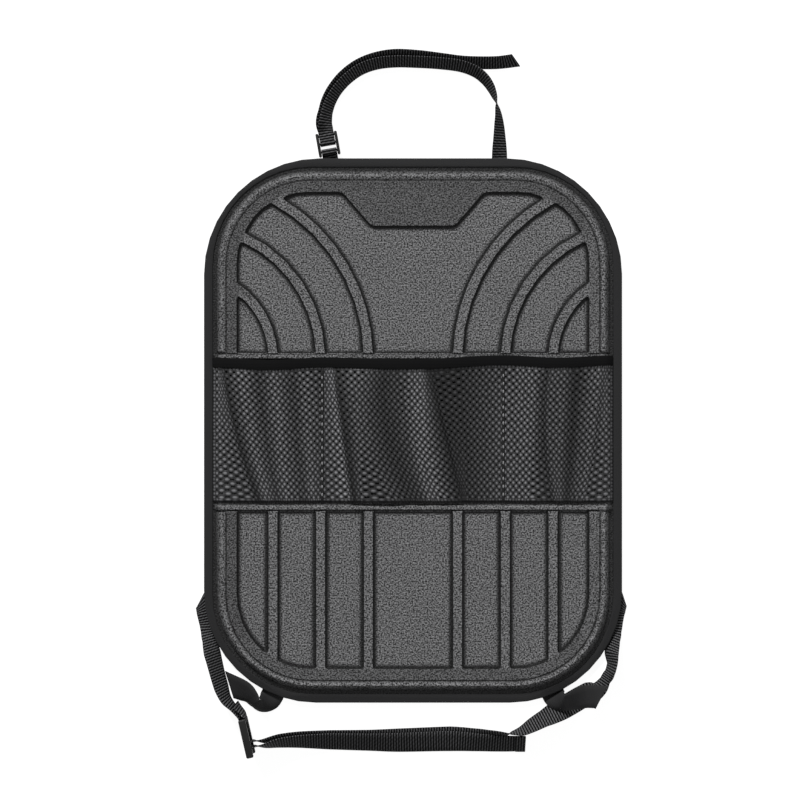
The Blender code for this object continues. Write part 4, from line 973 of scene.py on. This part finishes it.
# Seat strap. Folded out from under the right side, it runs across below the
# panel, round the large buckle's middle bar and back to a hemmed end.
webbing_strap("seat_strap", SEAT_WEBBING_WIDTH, [
    from_right(0.0024, 0.1103, 0.0, 0, -51, 0.48),
    from_right(-0.0026, 0.0960, 0.0, 0, 0, 0.55),
    from_right(-0.0035, 0.0840, 0.0, 0, 0, 0.40),
    from_right(-0.0045, 0.0750, 0.0, 8, 0, 0.36),
    from_right(-0.0073, 0.0660, 0.0, 38, 0, 0.51),
    from_right(-0.0113, 0.0544, 0.0003, 56, 0, 0.93),
    from_right(-0.0113, 0.0470, 0.0004, 65),
    from_right(-0.0113, 0.0407, 0.0005, 72),
    from_right(-0.0136, 0.0325, 0.0006, 73),
    from_right(-0.0180, 0.0237, 0.0006, 50, 0, 0.60),
    from_right(-0.0245, 0.0142, 0.0005, 22, 0, 0.72),
    from_right(-0.0335, 0.0098, 0.0003, 6),
    from_right(-0.0442, 0.0042, 0.0003, 0),
    from_right(-0.0564, -0.0026, 0.0003, 10),
    from_right(-0.0679, -0.0084, 0.0003, 30),
    from_right(-0.0826, -0.0158, 0.0003, 54),
    from_right(-0.0947, -0.0225, 0.0003, 63),
    from_right(-0.1055, -0.0284, 0.0003, 76),
    from_right(-0.1158, -0.0308, 0.0003, 92),
    from_right(-0.1284, -0.0335, 0.0003, 118),
    from_right(-0.1495, -0.0360, 0.0003, 145),
    from_right(-0.1810, -0.0354, 0.0003, 157),
    from_left(0.2063, -0.0368, 0.0003, 152),
    from_left(0.1747, -0.0371, 0.0003, 145),
    from_left(0.1326, -0.0368, 0.0003, 141),
    from_left(0.1010, -0.0361, 0.0006, 130),
    from_left(0.0800, -0.0368, 0.0016, 121),
    from_left(0.0640, -0.0388, 0.0030, 108),
    by_seat_buckle(SEAT_BARS[1] - seat_wrap - GAP, SEAT_PAST_BAR, seat_clear, 94),
    *[by_seat_buckle(SEAT_BARS[1] + along, aside, seat_clear, 90)
      for aside, along in bar_turn(0, -1, seat_wrap, -90, 90)],
    by_seat_buckle(SEAT_BARS[1] + seat_wrap + GAP, SEAT_PAST_BAR, seat_clear, 86),
    from_left(0.0650, -0.0438, 0.0030, 72),
    from_left(0.0800, -0.0412, 0.0016, 59),
    from_left(0.1010, -0.0400, 0.0006, 50),
    from_left(0.1326, -0.0402, 0.0003, 39),
    from_left(0.1747, -0.0411, 0.0003, 35),
    from_left(0.2063, -0.0415, 0.0003, 28),
    from_right(-0.1810, -0.0403, 0.0003, 23),
    from_right(-0.1495, -0.0415, 0.0003, 34),
    from_right(-0.1284, -0.0424, 0.0003, 39),
    from_right(-0.1130, -0.0425, 0.0003, 41),
    from_right(-0.1021, -0.0425, 0.0003, 41),
])

# Hem of the seat strap. The end is turned over and sewn, so it lies double
# for ten millimetres.
webbing_strap("seat_strap_hem", SEAT_WEBBING_WIDTH, [
    from_right(-0.1122, -0.0428, 0.0020, 41),
    from_right(-0.1072, -0.0428, 0.0022, 41),
    from_right(-0.1019, -0.0428, 0.0020, 41),
], replaces_node=False)

# Right brace strap. It comes from under the bottom edge and arches over the
# seat strap to the right corner, where it is sewn down.
webbing_strap("right_brace_strap", SEAT_WEBBING_WIDTH, [
    from_right(-0.0747, 0.0162, 0.0, 0),
    from_right(-0.0717, 0.0078, 0.0, 0),
    from_right(-0.0683, 0.0036, 0.0046, 26),
    from_right(-0.0626, 0.0014, 0.0100, 44),
    from_right(-0.0547, 0.0032, 0.0108, 34),
    from_right(-0.0465, 0.0058, 0.0108, 18),
    from_right(-0.0385, 0.0075, 0.0116, 4),
    from_right(-0.0305, 0.0077, 0.0142, 0),
    from_right(-0.0230, 0.0077, 0.0180, 0, -30),
], cloth=brace_cloth)

# Buckles. Black moulded ladder buckles with eased edges, one lying flat at
# the headrest end and one on its side at the foot.
buckle_plastic = cloth_material("buckle_plastic", (0.0045, 0.0045, 0.0045), roughness=0.45, gloss=0.2)
plastic_tree = buckle_plastic.node_tree
plastic_grain = pattern(plastic_tree, "Noise", object_place(plastic_tree), Scale=1400)
roughen(plastic_tree, plastic_grain.outputs["Fac"], strength=0.25, distance=0.0002)
for buckle in ("headrest_buckle", "seat_buckle"):
    piece = finished_piece("dressed_" + buckle, copied_shape(buckle), buckle_plastic, replaced=buckle)
    eased_edges(piece, width=0.0004, angle=30)
